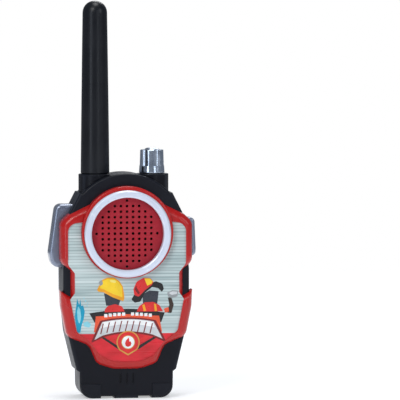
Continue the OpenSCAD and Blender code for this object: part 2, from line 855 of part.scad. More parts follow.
front_shell();
rear_shell();
front_bezel();
front_label();
speaker_grille();
speaker_ring();
antenna_sleeve();
antenna_wire();
antenna_lead();
ptt_button();
ptt_plunger();
ptt_spring();
ptt_switch();
call_button();
call_leaf();
call_contact();
volume_knob();
volume_shaft();
volume_control();
battery_door();
door_screw();
battery_pad();
battery();
battery_terminals();
battery_snap();
battery_lead_red();
battery_lead_black();
belt_clip();
clip_pin();
clip_spring();
case_screws();
circuit_board();
board_screws();
audio_chip();
tuning_coils();
crystal();
electrolytic_caps();
disc_caps();
resistors();
transistors();
speaker_gasket();
speaker_frame();
speaker_magnet();
speaker_surround();
speaker_cone();
speaker_screws();
speaker_lead_red();
speaker_lead_black();
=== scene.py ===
import math

import bmesh
import bpy
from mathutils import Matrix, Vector


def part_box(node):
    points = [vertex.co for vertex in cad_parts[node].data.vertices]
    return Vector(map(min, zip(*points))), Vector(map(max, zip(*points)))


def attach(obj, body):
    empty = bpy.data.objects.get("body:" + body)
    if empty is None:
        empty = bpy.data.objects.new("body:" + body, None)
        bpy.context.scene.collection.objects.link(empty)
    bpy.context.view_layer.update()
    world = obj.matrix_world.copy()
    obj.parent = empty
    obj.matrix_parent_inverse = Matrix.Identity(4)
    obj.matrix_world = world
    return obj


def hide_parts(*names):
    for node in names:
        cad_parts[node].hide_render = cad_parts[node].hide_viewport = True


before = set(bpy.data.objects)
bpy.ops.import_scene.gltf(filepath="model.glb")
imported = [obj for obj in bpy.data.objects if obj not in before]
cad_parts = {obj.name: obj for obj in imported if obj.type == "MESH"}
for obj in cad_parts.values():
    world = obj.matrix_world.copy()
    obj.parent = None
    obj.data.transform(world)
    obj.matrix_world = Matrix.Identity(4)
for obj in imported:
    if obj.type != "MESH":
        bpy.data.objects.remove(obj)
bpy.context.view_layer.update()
mm = 0.001


# small helpers for modelling

def deselectAll():
    bpy.ops.object.select_all(action='DESELECT')


def makeActive(ob):
    deselectAll()
    ob.select_set(True)
    bpy.context.view_layer.objects.active = ob


def editOn(ob):
    makeActive(ob)
    bpy.ops.object.mode_set(mode='EDIT')


def editOff():
    bpy.ops.object.mode_set(mode='OBJECT')


def pick(ob, kind, test):
    # selects the vertices, edges or faces that pass the test, in edit mode
    bpy.ops.mesh.select_mode(type=kind)
    bpy.ops.mesh.select_all(action='DESELECT')
    bm = bmesh.from_edit_mesh(ob.data)
    found = {'VERT': bm.verts, 'EDGE': bm.edges, 'FACE': bm.faces}[kind]
    for part in found:
        if test(part):
            part.select_set(True)
    bm.select_flush_mode()
    bmesh.update_edit_mesh(ob.data)


def pickFacing(ob, direction, share=0.9):
    pick(ob, 'FACE', lambda f: f.normal.dot(Vector(direction)) > share)


def selectAll():
    bpy.ops.mesh.select_all(action='SELECT')


def bevelEdges(width, segments):
    bpy.ops.mesh.bevel(offset=width * mm, segments=segments, affect='EDGES')


def allOut():
    # every face of the piece being edited is turned outwards, and all are left selected
    selectAll()
    bpy.ops.mesh.normals_make_consistent(inside=False)


def settle(ob, smooth=35):
    # leaves the finished piece at the origin, unturned and unscaled
    makeActive(ob)
    bpy.ops.object.transform_apply(location=True, rotation=True, scale=True)
    if smooth:
        bpy.ops.object.shade_smooth_by_angle(angle=math.radians(smooth))
    return ob


def evenNormals(ob):
    mod = ob.modifiers.new("evenNormals", 'WEIGHTED_NORMAL')
    mod.keep_sharp = True
    mod.weight = 90
    makeActive(ob)
    bpy.ops.object.modifier_apply(modifier=mod.name)


def boolean(ob, other, how='DIFFERENCE'):
    # cuts the other piece away, or joins it on, and removes it
    mod = ob.modifiers.new("cut", 'BOOLEAN')
    mod.operation = how
    mod.solver = 'MANIFOLD'
    mod.object = other
    makeActive(ob)
    bpy.ops.object.modifier_apply(modifier=mod.name)
    bpy.data.objects.remove(other)
    return ob


def duplicate(ob, name):
    makeActive(ob)
    bpy.ops.object.duplicate()
    copy = bpy.context.object
    copy.name = name
    return copy


def joinAll(name, pieces):
    makeActive(pieces[0])
    for piece in pieces[1:]:
        piece.select_set(True)
    bpy.ops.object.join()
    pieces[0].name = name
    return pieces[0]


def cornerCut(before, here, after, radius):
    # how far along its edges a corner is cut to be rounded to this radius, and its turn in degrees
    u = (Vector(before[:2]) - Vector(here[:2])).normalized()
    v = (Vector(after[:2]) - Vector(here[:2])).normalized()
    half = math.acos(max(-1, min(1, u.dot(v)))) / 2
    return radius / math.tan(half), 180 - math.degrees(2 * half)


def traceFace(name, corners, y, plane='XZ', towards=(0, -1, 0), arcStep=9):
    # a flat face traced corner by corner in millimetres, each [across, up, rounding]
    def place(c):
        if plane == 'XZ':
            return Vector((c[0], y, c[1])) * mm
        if plane == 'YZ':
            return Vector((y, c[0], c[1])) * mm
        return Vector((c[0], c[1], y)) * mm
    deselectAll()
    bpy.ops.mesh.primitive_plane_add(size=mm, location=place(corners[0]))
    ob = bpy.context.object
    ob.name = name
    bpy.ops.object.mode_set(mode='EDIT')
    bpy.ops.mesh.select_mode(type='VERT')
    selectAll()
    bpy.ops.mesh.merge(type='CENTER')
    for a, b in zip(corners, corners[1:]):
        bpy.ops.mesh.extrude_vertices_move(TRANSFORM_OT_translate={"value": place(b) - place(a)})
    selectAll()
    bpy.ops.mesh.edge_face_add()
    count = len(corners)
    for i, c in enumerate(corners):
        if len(c) < 3 or c[2] <= 0:
            continue
        cut, turn = cornerCut(corners[i - 1], c, corners[(i + 1) % count], c[2])
        spot = place(c) - ob.location
        pick(ob, 'VERT', lambda v: (v.co - spot).length < 1e-6)
        bpy.ops.mesh.bevel(offset_type='OFFSET', offset=cut * mm, segments=max(2, round(turn / arcStep)),
                           profile=0.5, affect='VERTICES')
    bpy.ops.mesh.select_mode(type='FACE')
    selectAll()
    bm = bmesh.from_edit_mesh(ob.data)
    bm.faces.ensure_lookup_table()
    if bm.faces[0].normal.dot(Vector(towards)) < 0:
        bpy.ops.mesh.flip_normals()
    return ob


def pushFace(distance, direction):
    # the selected face is drawn out by a distance in millimetres
    bpy.ops.mesh.extrude_region_move(TRANSFORM_OT_translate={"value": Vector(direction) * distance * mm})


def roundRim(across, forward, steps=5):
    # the selected face steps in and forward along a quarter of an ellipse
    for i in range(steps):
        a, b = math.pi / 2 * i / steps, math.pi / 2 * (i + 1) / steps
        bpy.ops.mesh.inset(thickness=across * (math.cos(a) - math.cos(b)) * mm,
                           depth=forward * (math.sin(b) - math.sin(a)) * mm, use_even_offset=True)


def slab(name, corners, y0, y1, frontRim=(0, 0), backRim=(0, 0), steps=5, arcStep=9):
    # a plate with rounded rims from y0 at the front to y1 at the back
    ob = traceFace(name, corners, y1 - backRim[1], arcStep=arcStep)
    pushFace(y1 - backRim[1] - y0 - frontRim[1], (0, -1, 0))
    if frontRim[0]:
        roundRim(*frontRim, steps)
    if backRim[0]:
        pickFacing(ob, (0, 1, 0), 0.99)
        roundRim(*backRim, steps)
    editOff()
    return settle(ob, 0)


def prism(name, corners, start, length):
    # a side outline of [depth, height, rounding] drawn out along X
    ob = traceFace(name, corners, start, 'YZ', (-1, 0, 0))
    selectAll()
    pushFace(length, (1, 0, 0))
    allOut()
    editOff()
    return settle(ob, 0)


def block(name, low, high, rounding=0, segments=3):
    deselectAll()
    low, high = Vector(low), Vector(high)
    bpy.ops.mesh.primitive_cube_add(size=1, location=(low + high) / 2 * mm, scale=(high - low) * mm)
    ob = bpy.context.object
    ob.name = name
    settle(ob, 0)
    if rounding:
        editOn(ob)
        selectAll()
        bevelEdges(rounding, segments)
        editOff()
    return ob


def rod(name, centre, radius, length, axis='Z', sides=48):
    # a cylinder from its centre point along an axis, in millimetres
    turn = {'X': (0, math.pi / 2, 0), 'Y': (math.pi / 2, 0, 0), 'Z': (0, 0, 0)}[axis]
    deselectAll()
    bpy.ops.mesh.primitive_cylinder_add(vertices=sides, radius=radius * mm, depth=length * mm,
                                        location=Vector(centre) * mm, rotation=turn)
    ob = bpy.context.object
    ob.name = name
    return settle(ob, 0)


def spun(name, profile, centre, axis, steps=96):
    # a profile of [radius, distance along the axis, rounding] turned about the axis
    ob = traceFace(name, [[c[0], c[1], c[2] if len(c) > 2 else 0] for c in profile], 0, arcStep=12)
    selectAll()
    bpy.ops.mesh.delete(type='ONLY_FACE')
    selectAll()
    bpy.ops.mesh.spin(steps=steps, angle=2 * math.pi, center=(0, 0, 0), axis=(0, 0, 1))
    selectAll()
    bpy.ops.mesh.remove_doubles(threshold=0.00001)
    bpy.ops.mesh.delete_loose(use_verts=True, use_edges=True, use_faces=False)
    allOut()
    editOff()
    settle(ob, 0)
    turn = {'Z': (0, 0, 0), '-Y': (math.pi / 2, 0, 0)}[axis]
    ob.rotation_euler = turn
    ob.location = Vector(centre) * mm
    return settle(ob, 0)


def mirrored(half):
    # right-hand corners from the bottom up, with their mirror image
    return half + [[-c[0], *c[1:]] for c in reversed(half)]


def finishPiece(ob, material, node=None, body="radio", smooth=35, even=True):
    settle(ob, smooth)
    if even:
        evenNormals(ob)
    if material:
        ob.data.materials.clear()
        ob.data.materials.append(material)
    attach(ob, body)
    if node:
        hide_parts(node)
    return ob


# materials

def newMaterial(name, colour, roughness, metallic=0.0, specular=0.5, coat=0.0, coatRoughness=0.1):
    mat = bpy.data.materials.new(name)
    mat.use_nodes = True
    tree = mat.node_tree
    shader = tree.nodes["Principled BSDF"]
    shader.inputs["Base Color"].default_value = (*colour, 1)
    shader.inputs["Roughness"].default_value = roughness
    shader.inputs["Metallic"].default_value = metallic
    shader.inputs["Specular IOR Level"].default_value = specular
    shader.inputs["Coat Weight"].default_value = coat
    shader.inputs["Coat Roughness"].default_value = coatRoughness
    coords = tree.nodes.new("ShaderNodeTexCoord")
    coords.name = "coords"
    return mat, tree, shader, coords


def addNoise(tree, coords, scale, detail=4.0, stretch=(1, 1, 1)):
    mapping = tree.nodes.new("ShaderNodeMapping")
    mapping.inputs["Scale"].default_value = stretch
    noise = tree.nodes.new("ShaderNodeTexNoise")
    noise.inputs["Scale"].default_value = scale
    noise.inputs["Detail"].default_value = detail
    tree.links.new(coords.outputs["Object"], mapping.inputs["Vector"])
    tree.links.new(mapping.outputs["Vector"], noise.inputs["Vector"])
    return noise


def addRamp(tree, source, stops, kind='LINEAR'):
    ramp = tree.nodes.new("ShaderNodeValToRGB")
    ramp.color_ramp.interpolation = kind
    parts = ramp.color_ramp.elements
    while len(parts) < len(stops):
        parts.new(0.5)
    for part, (place, colour) in zip(parts, stops):
        part.position = place
        part.color = (*colour, 1) if hasattr(colour, "__len__") else (colour, colour, colour, 1)
    tree.links.new(source, ramp.inputs["Fac"])
    return ramp


def heightOf(tree, coords):
    split = tree.nodes.new("ShaderNodeSeparateXYZ")
    tree.links.new(coords.outputs["Object"], split.inputs["Vector"])
    return split.outputs["Z"]


def addMap(tree, source, low, high, toLow=0.0, toHigh=1.0):
    ranged = tree.nodes.new("ShaderNodeMapRange")
    for socket, number in (("From Min", low), ("From Max", high), ("To Min", toLow), ("To Max", toHigh)):
        ranged.inputs[socket].default_value = number
    tree.links.new(source, ranged.inputs["Value"])
    return ranged.outputs["Result"]


def addMix(tree, amount, first, second):
    # blends from the first colour to the second, each a colour or another node's output
    mix = tree.nodes.new("ShaderNodeMix")
    mix.data_type = 'RGBA'
    tree.links.new(amount, mix.inputs["Factor"])
    for socket, colour in (("A", first), ("B", second)):
        if hasattr(colour, "__len__"):
            mix.inputs[socket].default_value = (*colour, 1)
        else:
            tree.links.new(colour, mix.inputs[socket])
    return mix.outputs["Result"]


def addMath(tree, kind, *sources):
    step = tree.nodes.new("ShaderNodeMath")
    step.operation = kind
    for socket, source in zip(step.inputs, sources):
        if isinstance(source, float):
            socket.default_value = source
        else:
            tree.links.new(source, socket)
    return step.outputs[0]


def varyGloss(tree, shader, source, low, high, start=0.3):
    gloss = addRamp(tree, source, [(start, low), (0.7, high)])
    tree.links.new(gloss.outputs["Color"], shader.inputs["Roughness"])


def varyColour(tree, shader, source, stops):
    tone = addRamp(tree, source, stops)
    tree.links.new(tone.outputs["Color"], shader.inputs["Base Color"])


def addBump(tree, shader, source, strength, distance, below=None):
    bump = tree.nodes.new("ShaderNodeBump")
    bump.inputs["Strength"].default_value = strength
    bump.inputs["Distance"].default_value = distance
    tree.links.new(source, bump.inputs["Height"])
    if below:
        tree.links.new(below.outputs["Normal"], bump.inputs["Normal"])
    tree.links.new(bump.outputs["Normal"], shader.inputs["Normal"])
    return bump


def plasticMaterial(name, settings):
    # moulded plastic: cloudy colour, lighter edges that are partly wear and partly a painted highlight where the
    # edges catch the light, fine grain and a slight waviness
    mat, tree, shader, coords = newMaterial(name, settings["colour"], settings["roughness"],
                                            settings.get("metallic", 0), settings.get("specular", 0.5),
                                            settings.get("coat", 0), settings.get("coatRoughness", 0.08))
    cloud = addNoise(tree, coords, 60, 3)
    grain = addNoise(tree, coords, settings.get("grain", 2600), 2)
    wave = addNoise(tree, coords, 25, 1)
    spread = settings.get("spread", 0.12)
    tone = addRamp(tree, cloud.outputs["Fac"], [(0.3, [c * (1 - spread) for c in settings["colour"]]),
                                                (0.7, [min(1, c * (1 + spread)) for c in settings["colour"]])])
    geometry = tree.nodes.new("ShaderNodeNewGeometry")
    # painted highlight along convex edges (by pointiness), partly edge wear: 'wear' sets how strong it is and 'edge'
    # its colour
    edge = addRamp(tree, geometry.outputs["Pointiness"], [(0.505, 0), (0.56, settings.get("wear", 0.25))])
    wornAndHighlitEdge = settings.get("edge", [min(1, c * 1.8 + 0.03) for c in settings["colour"]])
    mixed = addMix(tree, edge.outputs["Color"], tone.outputs["Color"], wornAndHighlitEdge)
    tree.links.new(mixed, shader.inputs["Base Color"])
    rough = settings["roughness"]
    varyGloss(tree, shader, cloud.outputs["Fac"], rough * 0.85, min(1, rough * 1.2))
    first = addBump(tree, shader, wave.outputs["Fac"], settings.get("waviness", 0.02), 0.002)
    addBump(tree, shader, grain.outputs["Fac"], settings.get("grainDepth", 0.08), 0.0002, first)
    return mat


def metalMaterial(name, settings):
    # metal with fine drawn lines, smudges and small scratches
    mat, tree, shader, coords = newMaterial(name, settings["colour"], settings["roughness"], 1.0)
    lines = addNoise(tree, coords, 900, 3, settings.get("stretch", (1, 1, 0.05)))
    smudge = addNoise(tree, coords, 90, 4)
    rough = settings["roughness"]
    varyGloss(tree, shader, smudge.outputs["Fac"], rough * 0.75, min(1, rough * 1.5), 0.35)
    varyColour(tree, shader, lines.outputs["Fac"], [(0.3, [c * 0.82 for c in settings["colour"]]),
                                                    (0.7, settings["colour"])])
    addBump(tree, shader, lines.outputs["Fac"], settings.get("depth", 0.1), 0.0001)
    return mat


# edge and wear give the colour and strength of the lighter edges, partly wear and partly a painted highlight
finishes = {
    "housing": dict(colour=(0.003, 0.0038, 0.008), roughness=0.38, grainDepth=0.1, specular=0.2, spread=0.15,
                    edge=(0.024, 0.029, 0.042), wear=0.4),
    "bezel": dict(colour=(0.42, 0.0045, 0.0045), roughness=0.25, grainDepth=0.02, specular=0.4, coat=0.15,
                  spread=0.06, edge=(0.62, 0.035, 0.03), wear=0.35),
    "grille": dict(colour=(0.36, 0.008, 0.02), roughness=0.5, grainDepth=0.12, specular=0.3, spread=0.1,
                   edge=(0.42, 0.03, 0.05)),
    "antenna": dict(colour=(0.0045, 0.0055, 0.0085), roughness=0.33, grainDepth=0.05, specular=0.3, spread=0.12,
                    edge=(0.016, 0.02, 0.028)),
    "buttons": dict(colour=(0.17, 0.2, 0.275), roughness=0.28, metallic=0.65, grainDepth=0.05, coat=0.3,
                    spread=0.08, edge=(0.5, 0.55, 0.66), wear=0.6),
    "ring": dict(colour=(0.68, 0.73, 0.86), roughness=0.34, metallic=0.3, grainDepth=0.04, spread=0.04,
                 edge=(0.85, 0.88, 0.95), wear=0.5),
    "knob": dict(colour=(0.66, 0.74, 0.86), roughness=0.2, stretch=(1, 1, 0.08), depth=0.012),
    "door": dict(colour=(0.0042, 0.0053, 0.0092), roughness=0.44, grain=1800, grainDepth=0.22, specular=0.26,
                 spread=0.15, edge=(0.024, 0.029, 0.042), wear=0.4),
}
print("helpers and settings ready")


# outlines of the housing, its front trim and its label

bodyOutline = dict(baseW=25.5, waistW=34.3, shoulderW=31.0, neckW=25.2, hoodR=32.3, hoodZ=89.5,
                   frontY=-12.0, backY=14.5, seamY=1.0, frontRim=(1.5, 1.5), backRim=(2.6, 2.6), wall=2.0)


def bodyCorners(s=bodyOutline, arcPoints=26):
    # right-hand side from the foot to the neck, then the arch over the speaker
    neckZ = 111.3
    start = math.asin((neckZ - s["hoodZ"]) / s["hoodR"])
    half = [[6.5, 0, 0], [6.5, 1.1, 0], [13.8, 1.1, 0], [13.8, 0, 0],
            [s["baseW"] - 0.2, 0, 7], [s["baseW"], 14.4, 0], [s["baseW"] + 1.7, 15.6, 0],
            [s["waistW"] - 2.3, 35.5, 9], [s["waistW"], 58, 9], [s["waistW"], 70, 9],
            [s["shoulderW"], 99.9, 7], [s["neckW"], neckZ, 0]]
    arch = []
    for i in range(arcPoints):
        a = start + (math.pi / 2 - start) * i / arcPoints
        arch.append([s["hoodR"] * math.cos(a), s["hoodZ"] + s["hoodR"] * math.sin(a), 0])
    return mirrored(half + arch)


towers = dict(x=15.5, r=9.0, top=121.1, foot=104.0, edge=0.35)


def shellHalf(name, front):
    # one half of the housing with its half of the sockets under the antenna and the knob
    s, t = bodyOutline, towers
    sign = -1 if front else 1
    outer = s["frontY"] if front else s["backY"]
    rim = s["frontRim"] if front else s["backRim"]
    seam = s["seamY"] + sign * 0.04
    ob = traceFace(name, bodyCorners(), seam + sign * 0.26, towards=(0, sign, 0))
    pushFace(abs(outer - seam) - 0.26 - rim[1], (0, sign, 0))
    roundRim(*rim, 5)
    pickFacing(ob, (0, -sign, 0), 0.99)
    bpy.ops.mesh.inset(thickness=0.3 * mm, depth=0.26 * mm, use_even_offset=True)  # groove along the seam
    bpy.ops.mesh.inset(thickness=(s["wall"] - 0.3) * mm, use_even_offset=True)
    pushFace(abs(outer - seam) - s["wall"], (0, sign, 0))
    editOff()
    settle(ob, 0)
    for x in (-t["x"], t["x"]):
        tower = rod("tower", (x, s["seamY"], (t["top"] + t["foot"]) / 2), t["r"], t["top"] - t["foot"], sides=72)
        editOn(tower)
        pick(tower, 'EDGE', lambda e: all(v.co.z > (t["top"] - 0.01) * mm for v in e.verts))
        bevelEdges(t["edge"], 3)
        selectAll()
        bpy.ops.mesh.bisect(plane_co=(0, seam * mm, 0), plane_no=(0, -sign, 0), use_fill=True, clear_outer=True,
                            threshold=0.000001)
        editOff()
        boolean(ob, tower, 'UNION')
    for x, bores in ((-t["x"], ((5.6, 100, 125), (7.2, 100, 112.3))), (t["x"], ((3.6, 100, 125), (7.2, 100, 118)))):
        for r, z0, z1 in bores:
            boolean(ob, rod("bore", (x, s["seamY"], (z0 + z1) / 2), r, z1 - z0, sides=48))
    return settle(ob, 0)


def cutButtonSlots(shell):
    boolean(shell, block("slot", (-45, -4.5, 70.5), (-25, 6.5, 105.2)))
    boolean(shell, block("slot", (25, -3.5, 76.1), (45, 5.5, 97.5)))


def makeFrontShell():
    shell = shellHalf("frontShell", True)
    cutButtonSlots(shell)
    boolean(shell, rod("soundHole", (0, -11, 89.5), 17, 6, 'Y', 96))
    for sign in (-1, 1):  # bumper pads over the outer feet
        pad = [[14, 1.3, 0.6], [20, 1.3, 1], [24.7, 5, 1], [24.7, 8, 0.6], [14, 8, 0.6]]
        if sign < 0:
            pad = [[-c[0], *c[1:]] for c in reversed(pad)]
        boolean(shell, slab("pad", pad, -12.6, -11.5, (0.35, 0.35)), 'UNION')
    for x in (-3.4, 0, 3.4):  # short grooves over the middle foot
        groove = block("groove", (x - 0.55, -12.6, 8.3), (x + 0.55, -11.3, 13.4))
        boolean(shell, groove)
    return shell


batteryBay = dict(  # a box inside, open to the back, with a seat for its door
    walls=(("bayWalls", (-15.2, -8.1, 2.05), (15.2, 12.9, 56.6)),
           ("doorSeat", (-17.3, 11, 2.05), (17.3, 12.9, 64.3))),
    cuts=(("bay", (-14, -6.9, 3.2), (14, 12.5, 55.4)), ("bayMouth", (-14, 5, 5), (14, 16, 55.4)),
          ("doorWell", (-15.8, 12.8, 5), (15.8, 16, 62.8)), ("hingeWell", (-15.8, 12.1, 5), (15.8, 16, 8.3))),
    screwZ=59, bossR=3.2, boreR=1.8, leadX=6)
clipEars = dict(x=10.4, thick=2, pin=(17.6, 100), pinR=1.25,  # they hold the clip's pin
                outline=[[14.4, 95, 0], [20.2, 97.4, 2.5], [20.2, 102.6, 2.5], [14.4, 105, 0]])
casePosts = dict(places=((0, 115), (28.5, 62), (-28.5, 62), (19.6, 9), (-19.6, 9)), r=4.4, wellR=3.1, boreR=1.6)


def makeRearShell():
    shell = shellHalf("rearShell", False)
    cutButtonSlots(shell)
    bay = batteryBay
    for name, low, high in bay["walls"]:
        boolean(shell, block(name, low, high), 'UNION')
    boolean(shell, rod("doorBoss", (0, 8, bay["screwZ"]), bay["bossR"], 8, 'Y', 32), 'UNION')
    for name, low, high in bay["cuts"]:
        boolean(shell, block(name, low, high))
    boolean(shell, rod("doorBore", (0, 10, bay["screwZ"]), bay["boreR"], 8, 'Y', 24))
    for x in (-bay["leadX"], bay["leadX"]):
        boolean(shell, block("leadNotch", (x - 1.4, 5, 54.4), (x + 1.4, 9.5, 57.4)))
    for sx in (-1, 1):
        ear = prism("ear", clipEars["outline"], sx * clipEars["x"] - clipEars["thick"] / 2, clipEars["thick"])
        boolean(ear, rod("pinHole", (sx * clipEars["x"], *clipEars["pin"]), clipEars["pinR"], 6, 'X', 28))
        boolean(shell, ear, 'UNION')
    for x, z in casePosts["places"]:
        boolean(shell, rod("post", (x, 6.8, z), casePosts["r"], 11.6, 'Y', 40), 'UNION')
        boolean(shell, rod("headWell", (x, 13.5, z), casePosts["wellR"], 6, 'Y', 40))
        boolean(shell, rod("screwBore", (x, 7, z), casePosts["boreR"], 14, 'Y', 24))
    return shell


frontShell = makeFrontShell()
print("front shell", len(frontShell.data.polygons))
rearShell = makeRearShell()
print("rear shell", len(rearShell.data.polygons))

housing = plasticMaterial("housing", finishes["housing"])
finishPiece(frontShell, housing, "front_shell")
finishPiece(rearShell, housing, "rear_shell")

# front trim

bezelOutline = mirrored([[7.5, 15.9, 12], [16.6, 19, 5], [20.8, 28.9, 5], [32.4, 33.7, 5], [35.6, 50, 8],
                         [36, 58.8, 0], [30.7, 55.8, 0], [30.7, 69.6, 1.5], [35.9, 74, 5], [35.9, 95.6, 5],
                         [31, 100.1, 7], [20.4, 105.3, 0]])
labelOutline = mirrored([[7.5, 20.2, 12], [14.6, 23.8, 3], [20.6, 31.5, 3], [27.4, 36.6, 3], [30.9, 54, 1.5],
                         [28.4, 57.4, 1.5], [28.4, 68.4, 2], [32.1, 73, 4], [32.1, 94.9, 5], [22, 96, 0]])


def makeBezel():
    bezel = slab("frontBezel", bezelOutline, -15, -5, (4, 4.5), steps=7)
    recess = slab("recess", labelOutline, -17, -13.9)
    boolean(bezel, recess)
    bodyCut = slab("bodyCut", bodyCorners(), -11.95, 0)
    boolean(bezel, bodyCut)
    collar = spun("collar", [[20, 12.05], [24.9, 12.05], [24.9, 17.6, 0.9], [20, 17.6]], (0, 0, 90.3), '-Y', 128)
    boolean(bezel, collar, 'UNION')
    boolean(bezel, rod("ringSeat", (0, -16, 89.5), 23.6, 4.2, 'Y', 128))
    boolean(bezel, rod("speakerHole", (0, -13, 89.5), 22.2, 12, 'Y', 128))
    return bezel


frontBezel = makeBezel()
finishPiece(frontBezel, plasticMaterial("bezel", finishes["bezel"]), "front_bezel")
print("front bezel", len(frontBezel.data.polygons))

# printed label: the sheet itself, then flat printed shapes a few hundredths of a millimetre above it

labelSheet = dict(front=-14.3, back=-13.95, inkStep=0.025, redBelow=35.4, linePitch=1.62, waver=0.9)


def makeLabelSheet():
    s = labelSheet
    sheet = slab("labelSheet", labelOutline, s["front"], s["back"])
    boolean(sheet, rod("collarCut", (0, -14, 90.3), 25.0, 6, 'Y', 128))
    return sheet


def labelMaterial():
    # brushed-metal print with fine dark lines, red at the foot of the sheet
    s = labelSheet
    mat, tree, shader, coords = newMaterial("labelPrint", (0.42, 0.53, 0.53), 0.32, specular=0.4, coat=0.15)
    up = heightOf(tree, coords)
    brushed = addNoise(tree, coords, 260, 3, (0.06, 0, 2.2))
    base = addRamp(tree, brushed.outputs["Fac"], [(0.3, (0.33, 0.43, 0.435)), (0.52, (0.5, 0.6, 0.595)),
                                                  (0.75, (0.66, 0.74, 0.735))])
    warp = addNoise(tree, coords, 40, 1, (0.35, 0, 1))
    waver = addMath(tree, 'MULTIPLY_ADD', warp.outputs["Fac"], s["waver"] * mm, up)
    lines = addMath(tree, 'PINGPONG', waver, s["linePitch"] * mm / 2)
    thin = addMap(tree, lines, 0.00003, 0.00028, 0.8, 0.0)
    fade = addRamp(tree, addNoise(tree, coords, 30, 2, (0.5, 0, 1.4)).outputs["Fac"], [(0.35, 0.25), (0.6, 1)])
    amount = addMath(tree, 'MULTIPLY', thin, fade.outputs["Color"])
    inked = addMix(tree, amount, base.outputs["Color"], (0.13, 0.2, 0.21))
    foot = addMap(tree, up, (s["redBelow"] - 0.12) * mm, (s["redBelow"] + 0.12) * mm)
    streaks = addNoise(tree, coords, 70, 3, (1, 0, 2.4))
    red = addRamp(tree, streaks.outputs["Fac"], [(0.3, (0.5, 0.008, 0.014)), (0.7, (0.78, 0.014, 0.03))])
    whole = addMix(tree, foot, red.outputs["Color"], inked)
    tree.links.new(whole, shader.inputs["Base Color"])
    varyGloss(tree, shader, brushed.outputs["Fac"], 0.24, 0.38)
    addBump(tree, shader, brushed.outputs["Fac"], 0.08, 0.0001)
    return mat


inks = dict(black=(0.008, 0.008, 0.009), orange=(0.78, 0.09, 0.03), darkRed=(0.19, 0.008, 0.01),
            silver=(0.62, 0.64, 0.66), white=(0.86, 0.87, 0.87), steel=(0.3, 0.32, 0.33), yellow=(0.93, 0.62, 0.02),
            amber=(0.85, 0.36, 0.01), pale=(0.98, 0.82, 0.2), red=(0.68, 0.02, 0.02), gold=(0.62, 0.33, 0.06),
            aqua=(0.0, 0.32, 0.5), ice=(0.25, 0.62, 0.72), brown=(0.035, 0.018, 0.012), slate=(0.03, 0.036, 0.05))
inkPieces = []


def inkMaterial(name, colour):
    # screen-printed ink: slight mottling, a little unevenness in its gloss and a soft edge of dots
    mat, tree, shader, coords = newMaterial(name + "Ink", colour, 0.32, specular=0.4, coat=0.15)
    dots = addNoise(tree, coords, 1500, 2)
    cloud = addNoise(tree, coords, 130, 2)
    varyColour(tree, shader, cloud.outputs["Fac"], [(0.3, [c * 0.85 for c in colour]),
                                                    (0.7, [min(1, c * 1.12) for c in colour])])
    varyGloss(tree, shader, dots.outputs["Fac"], 0.26, 0.4)
    addBump(tree, shader, dots.outputs["Fac"], 0.06, 0.00005)
    return mat


inkMaterials = {name: inkMaterial(name, colour) for name, colour in inks.items()}


def ink(colour, corners, layer):
    # one printed shape, its corners in millimetres, on the given layer of ink
    y = labelSheet["front"] - labelSheet["inkStep"] * layer
    shape = slab("ink", corners, y, labelSheet["front"] + 0.04, arcStep=14)
    shape.data.materials.clear()
    shape.data.materials.append(inkMaterials[colour])
    inkPieces.append(shape)
    return shape


def circle(cx, cz, r, points=28):
    turns = [2 * math.pi * i / points for i in range(points)]
    return [[cx + r * math.cos(a), cz + r * math.sin(a)] for a in turns]


def arc(x0, z0, x1, z1, rise, points=10):
    # points from one end to the other of a shallow arch
    return [[x0 + (x1 - x0) * i / points, z0 + (z1 - z0) * i / points + rise * 4 * (i / points) * (1 - i / points)]
            for i in range(points + 1)]


def printBanner():
    # dark wings behind, an orange field, and a silver band with a row of plain blocks in place of lettering
    ink("black", [[-20.6, 46.6]] + arc(-14, 47.5, 14.3, 47.5, 1.3) + [[20.5, 46.6], [18.6, 41.4], [-17.6, 41.4]], 1)
    ink("orange", [[-17, 44.9]] + arc(-13.2, 45, 13.6, 45, 0.9) + [[17.4, 44.9], [19, 36.2], [-18.1, 36.2]], 2)
    ink("darkRed", [[-14.8, 42.2]] + arc(-14, 42.6, 15, 42.6, 1.5) + [[15.8, 42.2], [20.9, 31.4], [20.1, 30.9]]
        + arc(14.2, 33.5, -13.5, 33.3, 2.2) + [[-19, 30.8], [-19.4, 31.4]], 3)
    ink("silver", [[-13.7, 41.4]] + arc(-13.4, 41.8, 14.3, 41.8, 1.4) + [[14.6, 41.4], [19.2, 32.4]]
        + arc(14, 34.7, -13.3, 34.5, 2.0) + [[-17.8, 32.2]], 4)
    ink("white", [[-13.1, 41.2]] + arc(-12.8, 41.5, 13.7, 41.5, 1.4) + [[14, 41.2], [15.3, 38.6]]
        + arc(14.4, 38.7, -13.5, 38.6, 1.8) + [[-14.4, 38.5]], 5)
    for i in range(9):  # slanted dark stripes across the plate
        x = 0.35 + (i - 4) * 3.35
        lift = 1.45 - 0.09 * (i - 4) ** 2
        ink("darkRed", [[x - 0.25, 40.9 + lift], [x + 0.35, 40.9 + lift], [x - 1.05, 35.3 + lift],
                        [x - 1.65, 35.3 + lift]], 6)
    for i in range(11):  # dashes along the dark ribbon
        x = -11.6 + i * 2.42
        z = 45.1 + 0.9 * (1 - ((x - 0.4) / 13) ** 2)
        if i != 5:
            ink("white", [[x - 0.85, z - 0.85], [x + 0.85, z - 0.85], [x + 0.85, z + 0.85], [x - 0.85, z + 0.85]], 5)


